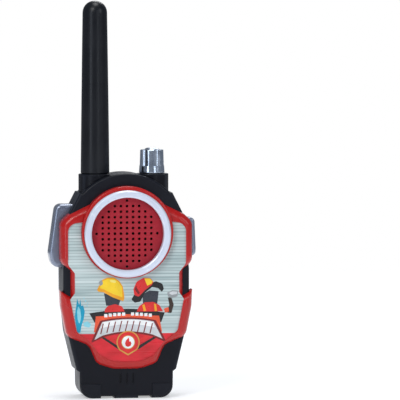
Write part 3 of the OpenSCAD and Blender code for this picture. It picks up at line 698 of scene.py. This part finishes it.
def printBadge():
    # round badge with a plain flame, between two dark bars that meet in a V
    ink("black", [[-14.5, 33.6], [-13.2, 34], [-4.2, 28.2], [-4.8, 26.9]], 1)
    ink("black", [[15.7, 32.9], [14.6, 33.6], [5.3, 28.2], [6.1, 26.7]], 1)
    ink("red", [[-12.9, 34.4], [-9.5, 34.6], [-4, 31], [-4, 29]], 2)
    ink("red", [[13.7, 34.3], [10.5, 34.6], [5, 31], [5, 29]], 2)
    for colour, r, point, layer in (("gold", 6.3, 23.5, 7), ("red", 5.7, 24.4, 8)):
        bowl = [math.radians(a) for a in range(-42, 223, 8)]
        ink(colour, [[0.5 + r * math.cos(a), 30.6 + r * math.sin(a)] for a in bowl] + [[0.5, point]], layer)
    ink("gold", circle(0.5, 30.7, 3.75), 9)
    ink("white", circle(0.5, 30.7, 3.4), 10)
    ink("red", [[0.4, 28.2, 0.3], [1.8, 28.7, 0.4], [2.3, 30, 0.5], [1.7, 31.4, 0.3], [1.2, 30.9], [0.9, 33.3],
                [-0.5, 31.9, 0.3], [-1.2, 30.2, 0.5], [-0.8, 28.7, 0.4]], 11)


def printHelmets():
    # two firefighting helmets over red coats, with nobody wearing them
    ink("slate", [[-12.6, 57.4], [-3.2, 54.6], [-4.6, 50.6], [-11.4, 50.6]], 1)
    ink("red", [[-12.2, 48.4], [-10.6, 50.4, 1], [-6.6, 51.4, 1.2], [-2.8, 50.2, 1], [-1.4, 47.4], [-12.2, 47]], 2)
    ink("amber", [[-16.4, 59.2], [-15.6, 58.2], [-12.9, 57.9], [-7.9, 55.1], [-2.1, 52.9], [-1.5, 54.4],
                  [-1.7, 57.2], [-2.4, 61], [-4.1, 63.7, 1.5], [-6.9, 65.8, 2], [-10.7, 65.8, 2], [-13.6, 64.6, 1.5],
                  [-15.1, 61.8]], 3)
    ink("yellow", [[-14.9, 60.2], [-12.6, 59.4], [-7.8, 56.9], [-2.6, 55], [-2.9, 60.8], [-4.5, 63.2, 1.5],
                   [-7, 65.2, 2], [-10.6, 65.2, 2], [-13.2, 64, 1.5]], 4)
    ink("pale", [[-10.4, 64.6, 0.6], [-6.6, 64.4, 0.8], [-5.2, 62.6, 0.8], [-8.6, 63.3, 0.8]], 5)
    ink("steel", [[-15.5, 63.4, 0.4], [-13.7, 64.7, 0.4], [-13.1, 62.4, 0.4], [-14.6, 61.2, 0.4]], 5)
    ink("slate", [[8.4, 56.5], [12, 58.6], [17.2, 58.2], [16.4, 51.4], [8.6, 51]], 1)
    ink("red", [[5.2, 47.2], [6.6, 50.2, 1], [9.6, 52.2, 1], [14.4, 52.4, 1], [17.6, 50.6, 1], [19.6, 47.2]], 2)
    ink("amber", [[8.2, 50.6], [9.4, 51.2], [10.4, 47.6], [9, 47.4]], 3)
    ink("amber", [[14.6, 51.6], [15.8, 51], [16.3, 47.4], [15, 47.4]], 3)
    ink("black", [[2.3, 53.8, 0.8], [4.2, 52, 1], [7.2, 52.6, 0.8], [9.7, 57.4], [13.6, 60.4], [17, 59.8, 0.8],
                  [18.9, 57.6, 0.6], [20, 59.4, 1], [19.2, 62.2, 1.4], [15.6, 63.6, 1.4], [11.8, 62],
                  [5, 58.4, 1]], 3)
    ink("red", [[3.9, 56.2, 1], [6.3, 55.3, 0.6], [9.8, 58.8], [13.4, 61.6, 0.8], [14.4, 63.2, 0.6],
                [12.6, 65.3, 1.5], [8.9, 65.5, 2.5], [5.2, 63.4, 2.5], [3.4, 59.4, 1.5]], 4)
    ink("yellow", [[9.3, 65.2, 0.3], [11, 61.2], [13.2, 62.2, 0.4], [14, 63.4, 0.4], [12.3, 65.1, 0.8]], 5)
    ink("darkRed", [[4, 59.2, 0.8], [6.2, 56.4, 0.5], [6.9, 57.3, 0.5], [5.2, 60.2, 0.6], [5.2, 62.6, 0.4]], 5)


def printTools():
    # a hatchet at one side and splashing water at the other
    ink("brown", [[22.2, 54.6], [24.1, 54.8], [25.4, 50.8, 0.6], [24.2, 46.2, 0.8], [21.4, 46.4, 0.8], [23, 50.6]], 1)
    ink("orange", [[20, 48.6, 0.6], [22.6, 49.6, 0.6], [22.8, 47, 0.5], [20.6, 46.4, 0.5]], 2)
    ink("steel", [[21.8, 57.3, 0.3], [24.6, 58.6, 0.4], [27.9, 58.3, 0.3], [27.4, 55.2, 0.3], [24.4, 54.2, 0.4],
                  [22.3, 55.2, 0.3]], 2)
    ink("silver", [[22.6, 57.1], [24.8, 58], [27.3, 57.8], [27.1, 56.6], [24.5, 56]], 3)
    ink("aqua", [[-27.2, 54.6], [-26, 51.2], [-25.4, 54.3], [-24.9, 50.6], [-23.9, 51], [-23, 47.6, 0.8],
                 [-23.6, 43.6, 1], [-24.9, 39.4, 0.8], [-25.4, 36.2], [-27.2, 36.2], [-27.8, 40, 0.8],
                 [-28.4, 44.6, 1], [-28, 48.6, 0.8], [-27.6, 50.8]], 1)
    ink("ice", [[-26.6, 50.4], [-25.5, 48.8], [-25, 44.8, 0.8], [-25.9, 39.6, 0.6], [-26.9, 43.6, 0.8],
                [-27.2, 47.4]], 2)
    for x, z, r in ((-22.6, 53.3, 0.45), (-21.4, 52.1, 0.3), (-23.4, 54.8, 0.3), (-21.8, 50.6, 0.35)):
        ink("ice", circle(x, z, r, 10), 2)
    ink("ice", [[-24, 41.5, 0.5], [-21.6, 42.4, 0.5], [-19.4, 40.6, 0.6], [-20.6, 38.8, 0.6], [-23.4, 39.6, 0.5]], 2)


printHelmets()
printTools()
printBanner()
printBadge()
labelPiece = makeLabelSheet()
finishPiece(labelPiece, labelMaterial(), "front_label", smooth=0, even=False)
for piece in inkPieces:
    settle(piece, 0)
labelPrint = joinAll("labelPrint", inkPieces)
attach(labelPrint, "radio")
print("label and its print", len(labelPrint.data.polygons))

# loudspeaker ring and grille

speakerFace = dict(z=89.5, ringOut=23.5, ringIn=19.6, ringFront=19.0, grilleFront=14.6,
                   holeR=0.75, pitchX=3.3, pitchZ=2.97, rows=(5, 4, 4, 4, 3, 2, 0))


def makeRing():
    s = speakerFace
    profile = [[s["ringIn"], 14.75], [s["ringIn"], s["ringFront"] - 0.55, 0.35],
               [s["ringIn"] + 0.85, s["ringFront"], 0.5], [s["ringOut"] - 1.0, s["ringFront"], 0.6],
               [s["ringOut"], s["ringFront"] - 0.9, 0.6], [s["ringOut"], 14], [22.3, 14], [22.3, 14.75]]
    return spun("speakerRing", profile, (0, 0, s["z"]), '-Y', 160)


def makeGrille():
    s = speakerFace
    profile = [[0, s["grilleFront"] - 0.9], [0, s["grilleFront"]], [6, s["grilleFront"] - 0.01],
               [14, s["grilleFront"] - 0.12], [19.5, s["grilleFront"] - 0.3], [20.6, 14, 0.2], [20.6, 13.3],
               [22, 13.2], [22, 12.1], [19.4, 12.1], [19.4, 13.2]]
    grille = spun("speakerGrille", profile, (0, 0, s["z"]), '-Y', 128)
    hole = rod("hole", (0, -14, s["z"]), s["holeR"], 4, 'Y', 12)
    editOn(hole)  # a small countersink at the front
    pickFacing(hole, (0, -1, 0), 0.99)
    bpy.ops.transform.translate(value=(0, 0.00155, 0))
    pushFace(0.3, (0, -1, 0))
    bpy.ops.transform.resize(value=(1.28, 1, 1.28), center_override=(0, 0, s["z"] * mm))
    pushFace(2, (0, -1, 0))
    editOff()
    holes = []
    for row in range(-6, 7):
        side = s["rows"][abs(row)]
        for i in range(-side, side + 1):
            copy = duplicate(hole, "hole")
            copy.location = Vector((i * s["pitchX"], 0, row * s["pitchZ"])) * mm
            holes.append(settle(copy, 0))
    bpy.data.objects.remove(hole)
    boolean(grille, joinAll("holes", holes))
    return grille


finishPiece(makeRing(), plasticMaterial("ringPlating", finishes["ring"]), "speaker_ring")
speakerGrille = makeGrille()
finishPiece(speakerGrille, plasticMaterial("grilleRed", finishes["grille"]), "speaker_grille", even=False)
print("ring and grille", len(speakerGrille.data.polygons))

# antenna

antennaShape = dict(x=-15.5, y=1, foot=121.15, top=214.75, footR=7.8, tipR=6.65, tipRounding=6.4)


def makeAntenna():
    s = antennaShape
    profile = [[2, 109], [7, 109], [7, 112], [5.5, 112], [5.5, s["foot"]], [s["footR"] - 0.5, s["foot"]],
               [s["footR"], s["foot"] + 0.6, 0.4], [s["footR"] - 0.02, s["foot"] + 1.6], [7.47, 150], [7.05, 182],
               [s["tipR"] + 0.02, s["top"] - 7], [s["tipR"] - 0.1, s["top"], s["tipRounding"]],
               [0, s["top"]], [0, 206.8], [3.5, 204.8], [4, 123], [2, 117]]
    antenna = spun("antennaSleeve", profile, (s["x"], s["y"], 0), 'Z', 72)
    return antenna


finishPiece(makeAntenna(), plasticMaterial("antennaRubber", finishes["antenna"]), "antenna_sleeve",
            smooth=50)

# volume knob

knobShape = dict(x=15.5, y=1, foot=121.4, footR=6.9, gripR=6.4, top=134, dome=1.4, fluteFoot=125.3, fluteR=3.5,
                 fluteDepth=5.6, turn=17, bore=3.02)


def makeKnob():
    s = knobShape
    profile = [[0, s["foot"] + 1], [0, s["top"] + s["dome"]], [2.2, s["top"] + s["dome"] - 0.32],
               [3.4, s["top"] + 0.75], [4.1, s["top"], 0.25], [s["gripR"], s["top"], 0.45],
               [s["gripR"] + 0.28, s["fluteFoot"] + 1.4], [s["footR"] - 0.12, s["fluteFoot"] - 0.9],
               [s["footR"], s["foot"] + 0.9, 0.2], [s["footR"], s["foot"], 0.3], [3.6, s["foot"]],
               [3.6, s["foot"] + 1]]
    knob = spun("volumeKnob", profile, (s["x"], s["y"], 0), 'Z', 96)
    for i in range(6):
        a = math.radians(s["turn"] - 90 + 60 * i)
        flute = rod("flute", (s["fluteDepth"] + s["fluteR"], 0, s["fluteFoot"] + 8), s["fluteR"], 16, sides=56)
        flute.rotation_euler = (0, 0, a)
        flute.location = (s["x"] * mm, s["y"] * mm, 0)
        settle(flute, 0)
        boolean(knob, flute)
    boolean(knob, rod("shaftBore", (s["x"], s["y"], 126), s["bore"], 10.6, 'Z', 32))
    return knob


volumeKnob = makeKnob()
finishPiece(volumeKnob, metalMaterial("knobChrome", finishes["knob"]), "volume_knob", "knob")
print("antenna and knob")

# side buttons

talkButton = dict(front=-4.2, back=6.2, rim=(2.2, 1.5), backRim=(1.6, 1.3),
                  outline=[[29.6, 70.8, 0], [39.6, 70.8, 4.5], [41.1, 78.5, 5], [38.2, 99.5, 8], [37.4, 104.9, 3.5],
                           [28, 104.9, 0], [27.7, 99, 0]])
callButton = dict(front=-3.2, back=5.2, rim=(1.5, 1.1), backRim=(1.2, 1.0),
                  outline=[[29, 76.4, 0], [38.9, 76.4, 2.2], [39.1, 80, 3], [38.4, 97.2, 2.6], [28, 97.2, 0]])


def wallX(z):
    return 34.3 - 3.3 * (z - 70) / 29.9


def makeButton(name, s, low, high, extra, boss):
    # cap with a rounded front and back, a flange that keeps it in, and the peg that works its switch
    cap = slab(name, s["outline"], s["front"], s["back"], s["rim"], s["backRim"])
    inside = 2.15
    flange = slab("flange", [[wallX(low) - inside, low], [wallX(high) - inside, high],
                             [wallX(high) - inside - 1.3, high], [wallX(low) - inside - 1.3, low]],
                  s["front"] - extra, s["back"] + extra)
    boolean(cap, flange, 'UNION')
    boolean(cap, rod("peg", boss[0], boss[1], boss[2], 'X', 24), 'UNION')
    return cap


pttButton = makeButton("pttButton", talkButton, 73, 98, 1.8, ((29.5, 0.8, 88), 1.6, 2.6))
pttButton.scale = (-1, 1, 1)
settle(pttButton, 0)
editOn(pttButton)
allOut()
editOff()
buttonGrey = plasticMaterial("buttonGrey", finishes["buttons"])
finishPiece(pttButton, buttonGrey, "ptt_button", "ptt")
callCap = makeButton("callButton", callButton, 77.4, 96.7, 1.6, ((27.7, 0.8, 87), 1.35, 3.6))
finishPiece(callCap, buttonGrey, "call_button", "call")
print("side buttons")

# battery door, belt clip

doorShape = dict(halfW=15.5, top=62.5, thick=1.6, outer=14.5, hingeY=13.5, hingeZ=6.3, knuckleR=1.0, pinR=0.6,
                 screwZ=59, seat=1.0, ribs=5, ribFoot=44, ribPitch=1.8)


def makeDoor():
    s = doorShape
    low, high = s["outer"] - s["thick"], s["outer"]
    door = block("batteryDoor", (-s["halfW"], low, s["hingeZ"]), (s["halfW"], high, s["top"]))
    editOn(door)  # rounded outer edges
    pick(door, 'EDGE', lambda e: all(v.co.y > (high - 0.01) * mm for v in e.verts)
         and any(v.co.z > 40 * mm for v in e.verts))
    bevelEdges(0.5, 3)
    editOff()
    knuckle = rod("knuckle", (0, s["hingeY"], s["hingeZ"]), s["knuckleR"], 2 * s["halfW"] - 0.06, 'X', 24)
    boolean(door, knuckle, 'UNION')
    for sx in (-1, 1):
        pin = rod("pin", (sx * (s["halfW"] + 0.4), s["hingeY"], s["hingeZ"]), s["pinR"], 1.6, 'X', 20)
        boolean(door, pin, 'UNION')
    for i in range(s["ribs"]):  # thumb grip: rounded grooves
        z = s["ribFoot"] + s["ribPitch"] * i + 0.4
        boolean(door, block("rib", (-8, high - 0.5, z - 0.4), (8, high + 1, z + 0.4), 0.18, 2))
    boolean(door, rod("screwBore", (0, high, s["screwZ"]), 1.25, 6, 'Y', 32))
    boolean(door, rod("screwWell", (0, high, s["screwZ"]), 2.4, 2 * s["seat"], 'Y', 40))
    for sx in (-1, 1):  # arrow-like pair of shallow marks beside the grip
        boolean(door, block("mark", (sx * 11.4 - 0.4, high - 0.3, 45), (sx * 11.4 + 0.4, high + 1, 51.5), 0.15, 2))
    return door


doorPiece = makeDoor()
finishPiece(doorPiece, plasticMaterial("doorPlastic", finishes["door"]), "battery_door", "door")

clipShape = dict(halfW=9, axisY=17.6, axisZ=100, foot=66, barrelR=2.5, pinR=1.3, blade=(2.3, 4.1), ribs=4)


def makeClip():
    s = clipShape
    y, z = s["axisY"], s["axisZ"]
    near, far = y + s["blade"][0], y + s["blade"][1]
    clip = prism("beltClip", [[near, z + 12, 0.8], [near, s["foot"] + 6, 1.5], [15.6, s["foot"] + 3, 1],
                              [14.8, s["foot"] + 1.6, 0.5], [16.4, s["foot"], 1], [far, s["foot"] + 4.4, 2],
                              [far, z + 12, 0.8]], -s["halfW"], 2 * s["halfW"])
    editOn(clip)
    pick(clip, 'EDGE', lambda e: all(abs(v.co.x) > (s["halfW"] - 0.01) * mm for v in e.verts)
         and abs(e.verts[0].co.x - e.verts[1].co.x) < 1e-6)
    bevelEdges(0.35, 2)
    editOff()
    boolean(clip, rod("barrel", (0, y, z), s["barrelR"], 2 * s["halfW"] - 0.02, 'X', 32), 'UNION')
    boolean(clip, block("web", (-s["halfW"] + 0.02, y, z - 2.3), (s["halfW"] - 0.02, near + 0.05, z + 2.3)), 'UNION')
    boolean(clip, block("springGap", (-4, y - 3, z - 4), (4, near, z + 4)))
    boolean(clip, rod("pinBore", (0, y, z), s["pinR"], 40, 'X', 32))
    for i in range(s["ribs"]):
        low = z + 4.2 + 1.9 * i
        boolean(clip, block("rib", (-7, far - 0.5, low), (7, far + 1, low + 0.9), 0.2, 2))
    boolean(clip, block("panel", (-6, far - 0.35, s["foot"] + 9), (6, far + 1, z - 2), 0.25, 2))  # sunk panel
    return clip


finishPiece(makeClip(), housing, "belt_clip", "clip")
print("battery door and belt clip")

# battery and its snap, foam pad and gasket

batteryShape = dict(w=26.2, d=17.2, foot=3.4, front=-6.7, h=46.4, corner=2.0, rim=0.6)


def crimp(rise):
    # the selected end steps in and up, then sinks a little inside its rim
    for across, up in ((0.5, rise), (0.6, 0), (0.2, -0.35)):
        bpy.ops.mesh.inset(thickness=across * mm, depth=up * mm, use_even_offset=True)


def makeBattery():
    s = batteryShape
    w, y0, y1 = s["w"] / 2, s["front"], s["front"] + s["d"]
    can = traceFace("batteryBody", [[-w, y0, s["corner"]], [w, y0, s["corner"]], [w, y1, s["corner"]],
                                    [-w, y1, s["corner"]]], s["foot"] + s["rim"], 'XY', (0, 0, -1))
    selectAll()
    pushFace(s["h"] - 2 * s["rim"], (0, 0, 1))
    crimp(s["rim"])
    allOut()
    pickFacing(can, (0, 0, -1), 0.99)
    crimp(s["rim"])
    editOff()
    return settle(can, 0)


def batteryMaterial():
    # printed wrap: dark blue with a pale band near the top and a bright metal rim
    mat, tree, shader, coords = newMaterial("batteryWrap", (0.03, 0.1, 0.32), 0.28, coat=0.3)
    up = heightOf(tree, coords)
    foot = batteryShape["foot"]
    height = addMap(tree, up, foot * mm, (foot + batteryShape["h"]) * mm)
    bands = addRamp(tree, height,
                    [(0.0, (0.55, 0.56, 0.58)), (0.03, (0.02, 0.07, 0.24)), (0.7, (0.72, 0.74, 0.76)),
                     (0.73, (0.5, 0.36, 0.08)), (0.97, (0.55, 0.56, 0.58))], 'CONSTANT')
    scuff = addNoise(tree, coords, 220, 4)
    wear = addRamp(tree, scuff.outputs["Fac"], [(0.62, 0), (0.75, 0.35)])
    scuffed = addMix(tree, wear.outputs["Color"], bands.outputs["Color"], (0.3, 0.31, 0.33))
    tree.links.new(scuffed, shader.inputs["Base Color"])
    varyGloss(tree, shader, scuff.outputs["Fac"], 0.22, 0.42)
    addBump(tree, shader, scuff.outputs["Fac"], 0.1, 0.0001)
    return mat


finishPiece(makeBattery(), batteryMaterial(), "battery")


def foamMaterial(name, colour):
    # open-celled foam: pores of two sizes in the bump, painted shade darkening the pores, and a soft sheen
    mat, tree, shader, coords = newMaterial(name, colour, 0.92, specular=0.2)
    shader.inputs["Sheen Weight"].default_value = 0.3
    pores = tree.nodes.new("ShaderNodeTexVoronoi")
    pores.inputs["Scale"].default_value = 1800
    tree.links.new(coords.outputs["Object"], pores.inputs["Vector"])
    cloud = addNoise(tree, coords, 500, 3)
    # painted shade: the foam colour is darkened in its pores
    varyColour(tree, shader, pores.outputs["Distance"], [(0.1, [c * 0.45 for c in colour]), (0.6, colour)])
    first = addBump(tree, shader, cloud.outputs["Fac"], 0.4, 0.0004)
    addBump(tree, shader, pores.outputs["Distance"], 0.6, 0.0003, first)
    return mat


def makePad():
    # a small foam block, crowned, with its sides drawn in a little between the corners
    low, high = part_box("battery_pad")
    size = Vector(high) - Vector(low)
    middle = (Vector(high) + Vector(low)) / 2
    deselectAll()
    bpy.ops.mesh.primitive_cube_add(size=1, location=middle, scale=size)
    pad = bpy.context.object
    pad.name = "batteryPad"
    settle(pad, 0)
    editOn(pad)
    bpy.ops.mesh.subdivide(number_cuts=7)
    bpy.ops.mesh.select_all(action='DESELECT')
    bm = bmesh.from_edit_mesh(pad.data)
    for v in bm.verts:  # crown and pull-in
        u = (v.co.x - middle.x) / (size.x / 2)
        w = (v.co.z - middle.z) / (size.z / 2)
        t = (v.co.y - middle.y) / (size.y / 2)
        v.co.y = middle.y + (size.y / 2) * t * (1 - 0.16 * max(abs(u), abs(w)) ** 4)
        v.co.x -= 0.00025 * u * (1 - w * w) * abs(u) ** 3
        v.co.z -= 0.00025 * w * (1 - u * u) * abs(w) ** 3
    bmesh.update_edit_mesh(pad.data)
    editOff()
    mod = pad.modifiers.new("soft", 'SUBSURF')
    mod.levels = 1
    mod.render_levels = 1
    makeActive(pad)
    bpy.ops.object.modifier_apply(modifier=mod.name)
    return settle(pad, 60)


padPiece = makePad()
finishPiece(padPiece, foamMaterial("foamGrey", (0.09, 0.095, 0.105)), "battery_pad", "door", 60, False)
gasketShape = dict(inner=17.2, outer=19, back=9.0, front=9.98, rounding=0.3)
g = gasketShape
gasketPiece = spun("speakerGasket", [[r, y, g["rounding"]] for r, y in (
    (g["inner"], g["back"]), (g["outer"], g["back"]), (g["outer"], g["front"]), (g["inner"], g["front"]))],
    (0, 0, speakerFace["z"]), '-Y', 72)
finishPiece(gasketPiece, foamMaterial("foamDark", (0.04, 0.04, 0.045)), "speaker_gasket", "radio", 60, False)
print("battery, pad and gasket")

# finishes for the working parts inside


def dress(material, *nodes):
    for node in nodes:
        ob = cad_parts[node]
        if not ob.material_slots:
            ob.data.materials.append(material)
        for place in ob.material_slots:
            place.link = 'OBJECT'
            place.material = material


def plainPlastic(name, colour, roughness=0.35, grain=2600, depth=0.1):
    return plasticMaterial(name, dict(colour=colour, roughness=roughness, grain=grain, grainDepth=depth))


def boardMaterial():
    # phenolic board: woven tint, copper tracks under green lacquer, and pale component marks
    mat, tree, shader, coords = newMaterial("boardGreen", (0.05, 0.16, 0.06), 0.35, coat=0.3)
    tracks = tree.nodes.new("ShaderNodeTexBrick")
    for socket, number in (("Scale", 1.0), ("Brick Width", 0.009), ("Row Height", 0.0036), ("Mortar Size", 0.0005),
                           ("Color1", (0.03, 0.15, 0.05, 1)), ("Color2", (0.035, 0.18, 0.06, 1)),
                           ("Mortar", (0.1, 0.32, 0.09, 1))):
        tracks.inputs[socket].default_value = number
    turn = tree.nodes.new("ShaderNodeMapping")
    turn.inputs["Rotation"].default_value = (math.pi / 2, 0, 0)
    tree.links.new(coords.outputs["Object"], turn.inputs["Vector"])
    tree.links.new(turn.outputs["Vector"], tracks.inputs["Vector"])
    tree.links.new(tracks.outputs["Color"], shader.inputs["Base Color"])
    weave = addNoise(tree, coords, 1200, 2)
    varyGloss(tree, shader, weave.outputs["Fac"], 0.28, 0.45)
    first = addBump(tree, shader, weave.outputs["Fac"], 0.1, 0.0001)
    addBump(tree, shader, tracks.outputs["Fac"], 0.25, 0.0001, first)
    return mat


def paperConeMaterial():
    mat, tree, shader, coords = newMaterial("conePaper", (0.045, 0.04, 0.035), 0.85, specular=0.25)
    fibres = addNoise(tree, coords, 900, 5, (1, 1, 2.5))
    varyColour(tree, shader, fibres.outputs["Fac"], [(0.35, (0.03, 0.027, 0.024)), (0.7, (0.085, 0.075, 0.065))])
    addBump(tree, shader, fibres.outputs["Fac"], 0.45, 0.0002)
    return mat


steelFine = dict(colour=(0.56, 0.57, 0.58), roughness=0.28, stretch=(1, 1, 1), depth=0.08)
screwSteel = metalMaterial("screwSteel", steelFine)
springSteel = metalMaterial("springSteel", dict(steelFine, colour=(0.48, 0.49, 0.51), roughness=0.22))
brass = metalMaterial("leafBrass", dict(steelFine, colour=(0.72, 0.5, 0.19), roughness=0.25))
canSteel = metalMaterial("canSteel", dict(steelFine, colour=(0.62, 0.63, 0.65), roughness=0.2))
wirePlastic = dict(roughness=0.4, grain=1500, depth=0.12)

dress(screwSteel, "case_screws", "board_screws", "speaker_screws", "door_screw", "clip_pin", "antenna_wire")
dress(springSteel, "ptt_spring", "clip_spring")
dress(brass, "call_leaf", "call_contact")
dress(canSteel, "battery_terminals", "tuning_coils", "crystal")
dress(plainPlastic("leadGreen", (0.02, 0.2, 0.045), **wirePlastic), "antenna_lead")
dress(plainPlastic("leadRed", (0.5, 0.012, 0.016), **wirePlastic), "battery_lead_red", "speaker_lead_red")
dress(plainPlastic("leadBlack", (0.012, 0.012, 0.013), **wirePlastic), "battery_lead_black", "speaker_lead_black")
dress(plainPlastic("whiteNylon", (0.75, 0.74, 0.7), 0.38), "ptt_plunger", "volume_shaft")
dress(plainPlastic("switchBlack", (0.022, 0.022, 0.024), 0.42), "ptt_switch", "audio_chip", "transistors")
dress(metalMaterial("potCase", dict(steelFine, colour=(0.4, 0.42, 0.44), roughness=0.34)), "volume_control")
dress(plainPlastic("snapBlack", (0.016, 0.016, 0.018), 0.5, 1500, 0.25), "battery_snap")
dress(boardMaterial(), "circuit_board")
dress(plainPlastic("sleeveBlue", (0.02, 0.06, 0.26), 0.25), "electrolytic_caps")
dress(plainPlastic("ceramicTan", (0.55, 0.26, 0.06), 0.5, 1200, 0.2), "disc_caps")
dress(plainPlastic("resistorTan", (0.62, 0.47, 0.28), 0.4, 1400, 0.15), "resistors")
dress(metalMaterial("basketSteel", dict(steelFine, colour=(0.5, 0.51, 0.52), roughness=0.36)), "speaker_frame")
dress(metalMaterial("magnetDark", dict(steelFine, colour=(0.16, 0.165, 0.175), roughness=0.45)), "speaker_magnet")
dress(plainPlastic("surroundRubber", (0.02, 0.02, 0.021), 0.7, 1800, 0.2), "speaker_surround")
dress(paperConeMaterial(), "speaker_cone")
print("inside parts dressed")

# studio: pale floor, soft boxes, a camera low in front and a little to the left

floorMat, _, floorShader, _ = newMaterial("paleFloor", (0.8, 0.81, 0.83), 0.7, specular=0.1)
floorShader.inputs["Emission Color"].default_value = (1, 1, 1, 1)
floorShader.inputs["Emission Strength"].default_value = 0.4
floor = rod("floor", (0, 0, -2), 900, 4, 'Z', 96)
floor.data.materials.append(floorMat)

lighting = dict(world=(0.75, 0.82, 0.95), worldStrength=0.22, backgroundStrength=1.0,
                boxes=[  # name, place, size across and up, watts, colour
                    ("keyBox", (-1.0, -1.5, 1.5), (0.8, 0.8), 16, (1, 0.99, 0.97)),
                    ("fillBox", (1.5, -1.3, 0.9), (0.7, 1.0), 6, (0.9, 0.94, 1)),
                    ("leftStrip", (-1.2, -1.3, 0.35), (0.28, 1.2), 4.5, (0.8, 0.89, 1)),
                    ("rightStrip", (0.62, -1.65, 0.45), (0.16, 1.2), 2.5, (0.85, 0.92, 1)),
                    ("backBox", (0.5, 1.6, 1.3), (1.0, 0.8), 9, (1, 1, 1)),
                    ("topBox", (0.1, 0.0, 1.6), (0.9, 0.6), 10, (1, 1, 1))])


def addBox(name, place, size, watts, colour):
    data = bpy.data.lights.new(name, 'AREA')
    data.shape = 'RECTANGLE'
    data.size, data.size_y = size
    data.energy = watts
    data.color = colour
    lamp = bpy.data.objects.new(name, data)
    bpy.context.scene.collection.objects.link(lamp)
    lamp.location = place
    lamp.rotation_euler = (Vector((0, 0, 0.1)) - Vector(place)).to_track_quat('-Z', 'Y').to_euler()


for box in lighting["boxes"]:
    addBox(*box)
world = bpy.data.worlds.new("studio")
bpy.context.scene.world = world
world.use_nodes = True
sky = world.node_tree
dim = sky.nodes["Background"]  # what lights the object and shows in its gloss
dim.inputs["Color"].default_value = (*lighting["world"], 1)
dim.inputs["Strength"].default_value = lighting["worldStrength"]
plain = sky.nodes.new("ShaderNodeBackground")  # the plain white seen behind it
plain.inputs["Color"].default_value = (1, 1, 1, 1)
plain.inputs["Strength"].default_value = lighting["backgroundStrength"]
rays = sky.nodes.new("ShaderNodeLightPath")
either = sky.nodes.new("ShaderNodeMixShader")
sky.links.new(rays.outputs["Is Camera Ray"], either.inputs["Fac"])
sky.links.new(dim.outputs["Background"], either.inputs[1])
sky.links.new(plain.outputs["Background"], either.inputs[2])
sky.links.new(either.outputs["Shader"], sky.nodes["World Output"].inputs["Surface"])
bpy.context.scene.view_settings.view_transform = 'Standard'

view = dict(turn=-7.2, lift=3.5, distance=2.4, across=0.0418, height=0.1064, spread=0.2169)
cam = bpy.data.cameras.new("camera")
camera = bpy.data.objects.new("camera", cam)
bpy.context.scene.collection.objects.link(camera)
bpy.context.scene.camera = camera
turn, lift = math.radians(view["turn"]), math.radians(view["lift"])
aim = Vector((view["across"], 0, view["height"]))
stand = Vector((math.sin(turn) * math.cos(lift), -math.cos(turn) * math.cos(lift), math.sin(lift)))
camera.location = Vector((0, 0, view["height"])) + view["distance"] * stand
camera.rotation_euler = (aim - camera.location).to_track_quat('-Z', 'Y').to_euler()
cam.sensor_width = 36
cam.lens = 36 * view["distance"] / view["spread"]
cam.clip_end = 20
print("studio and camera")
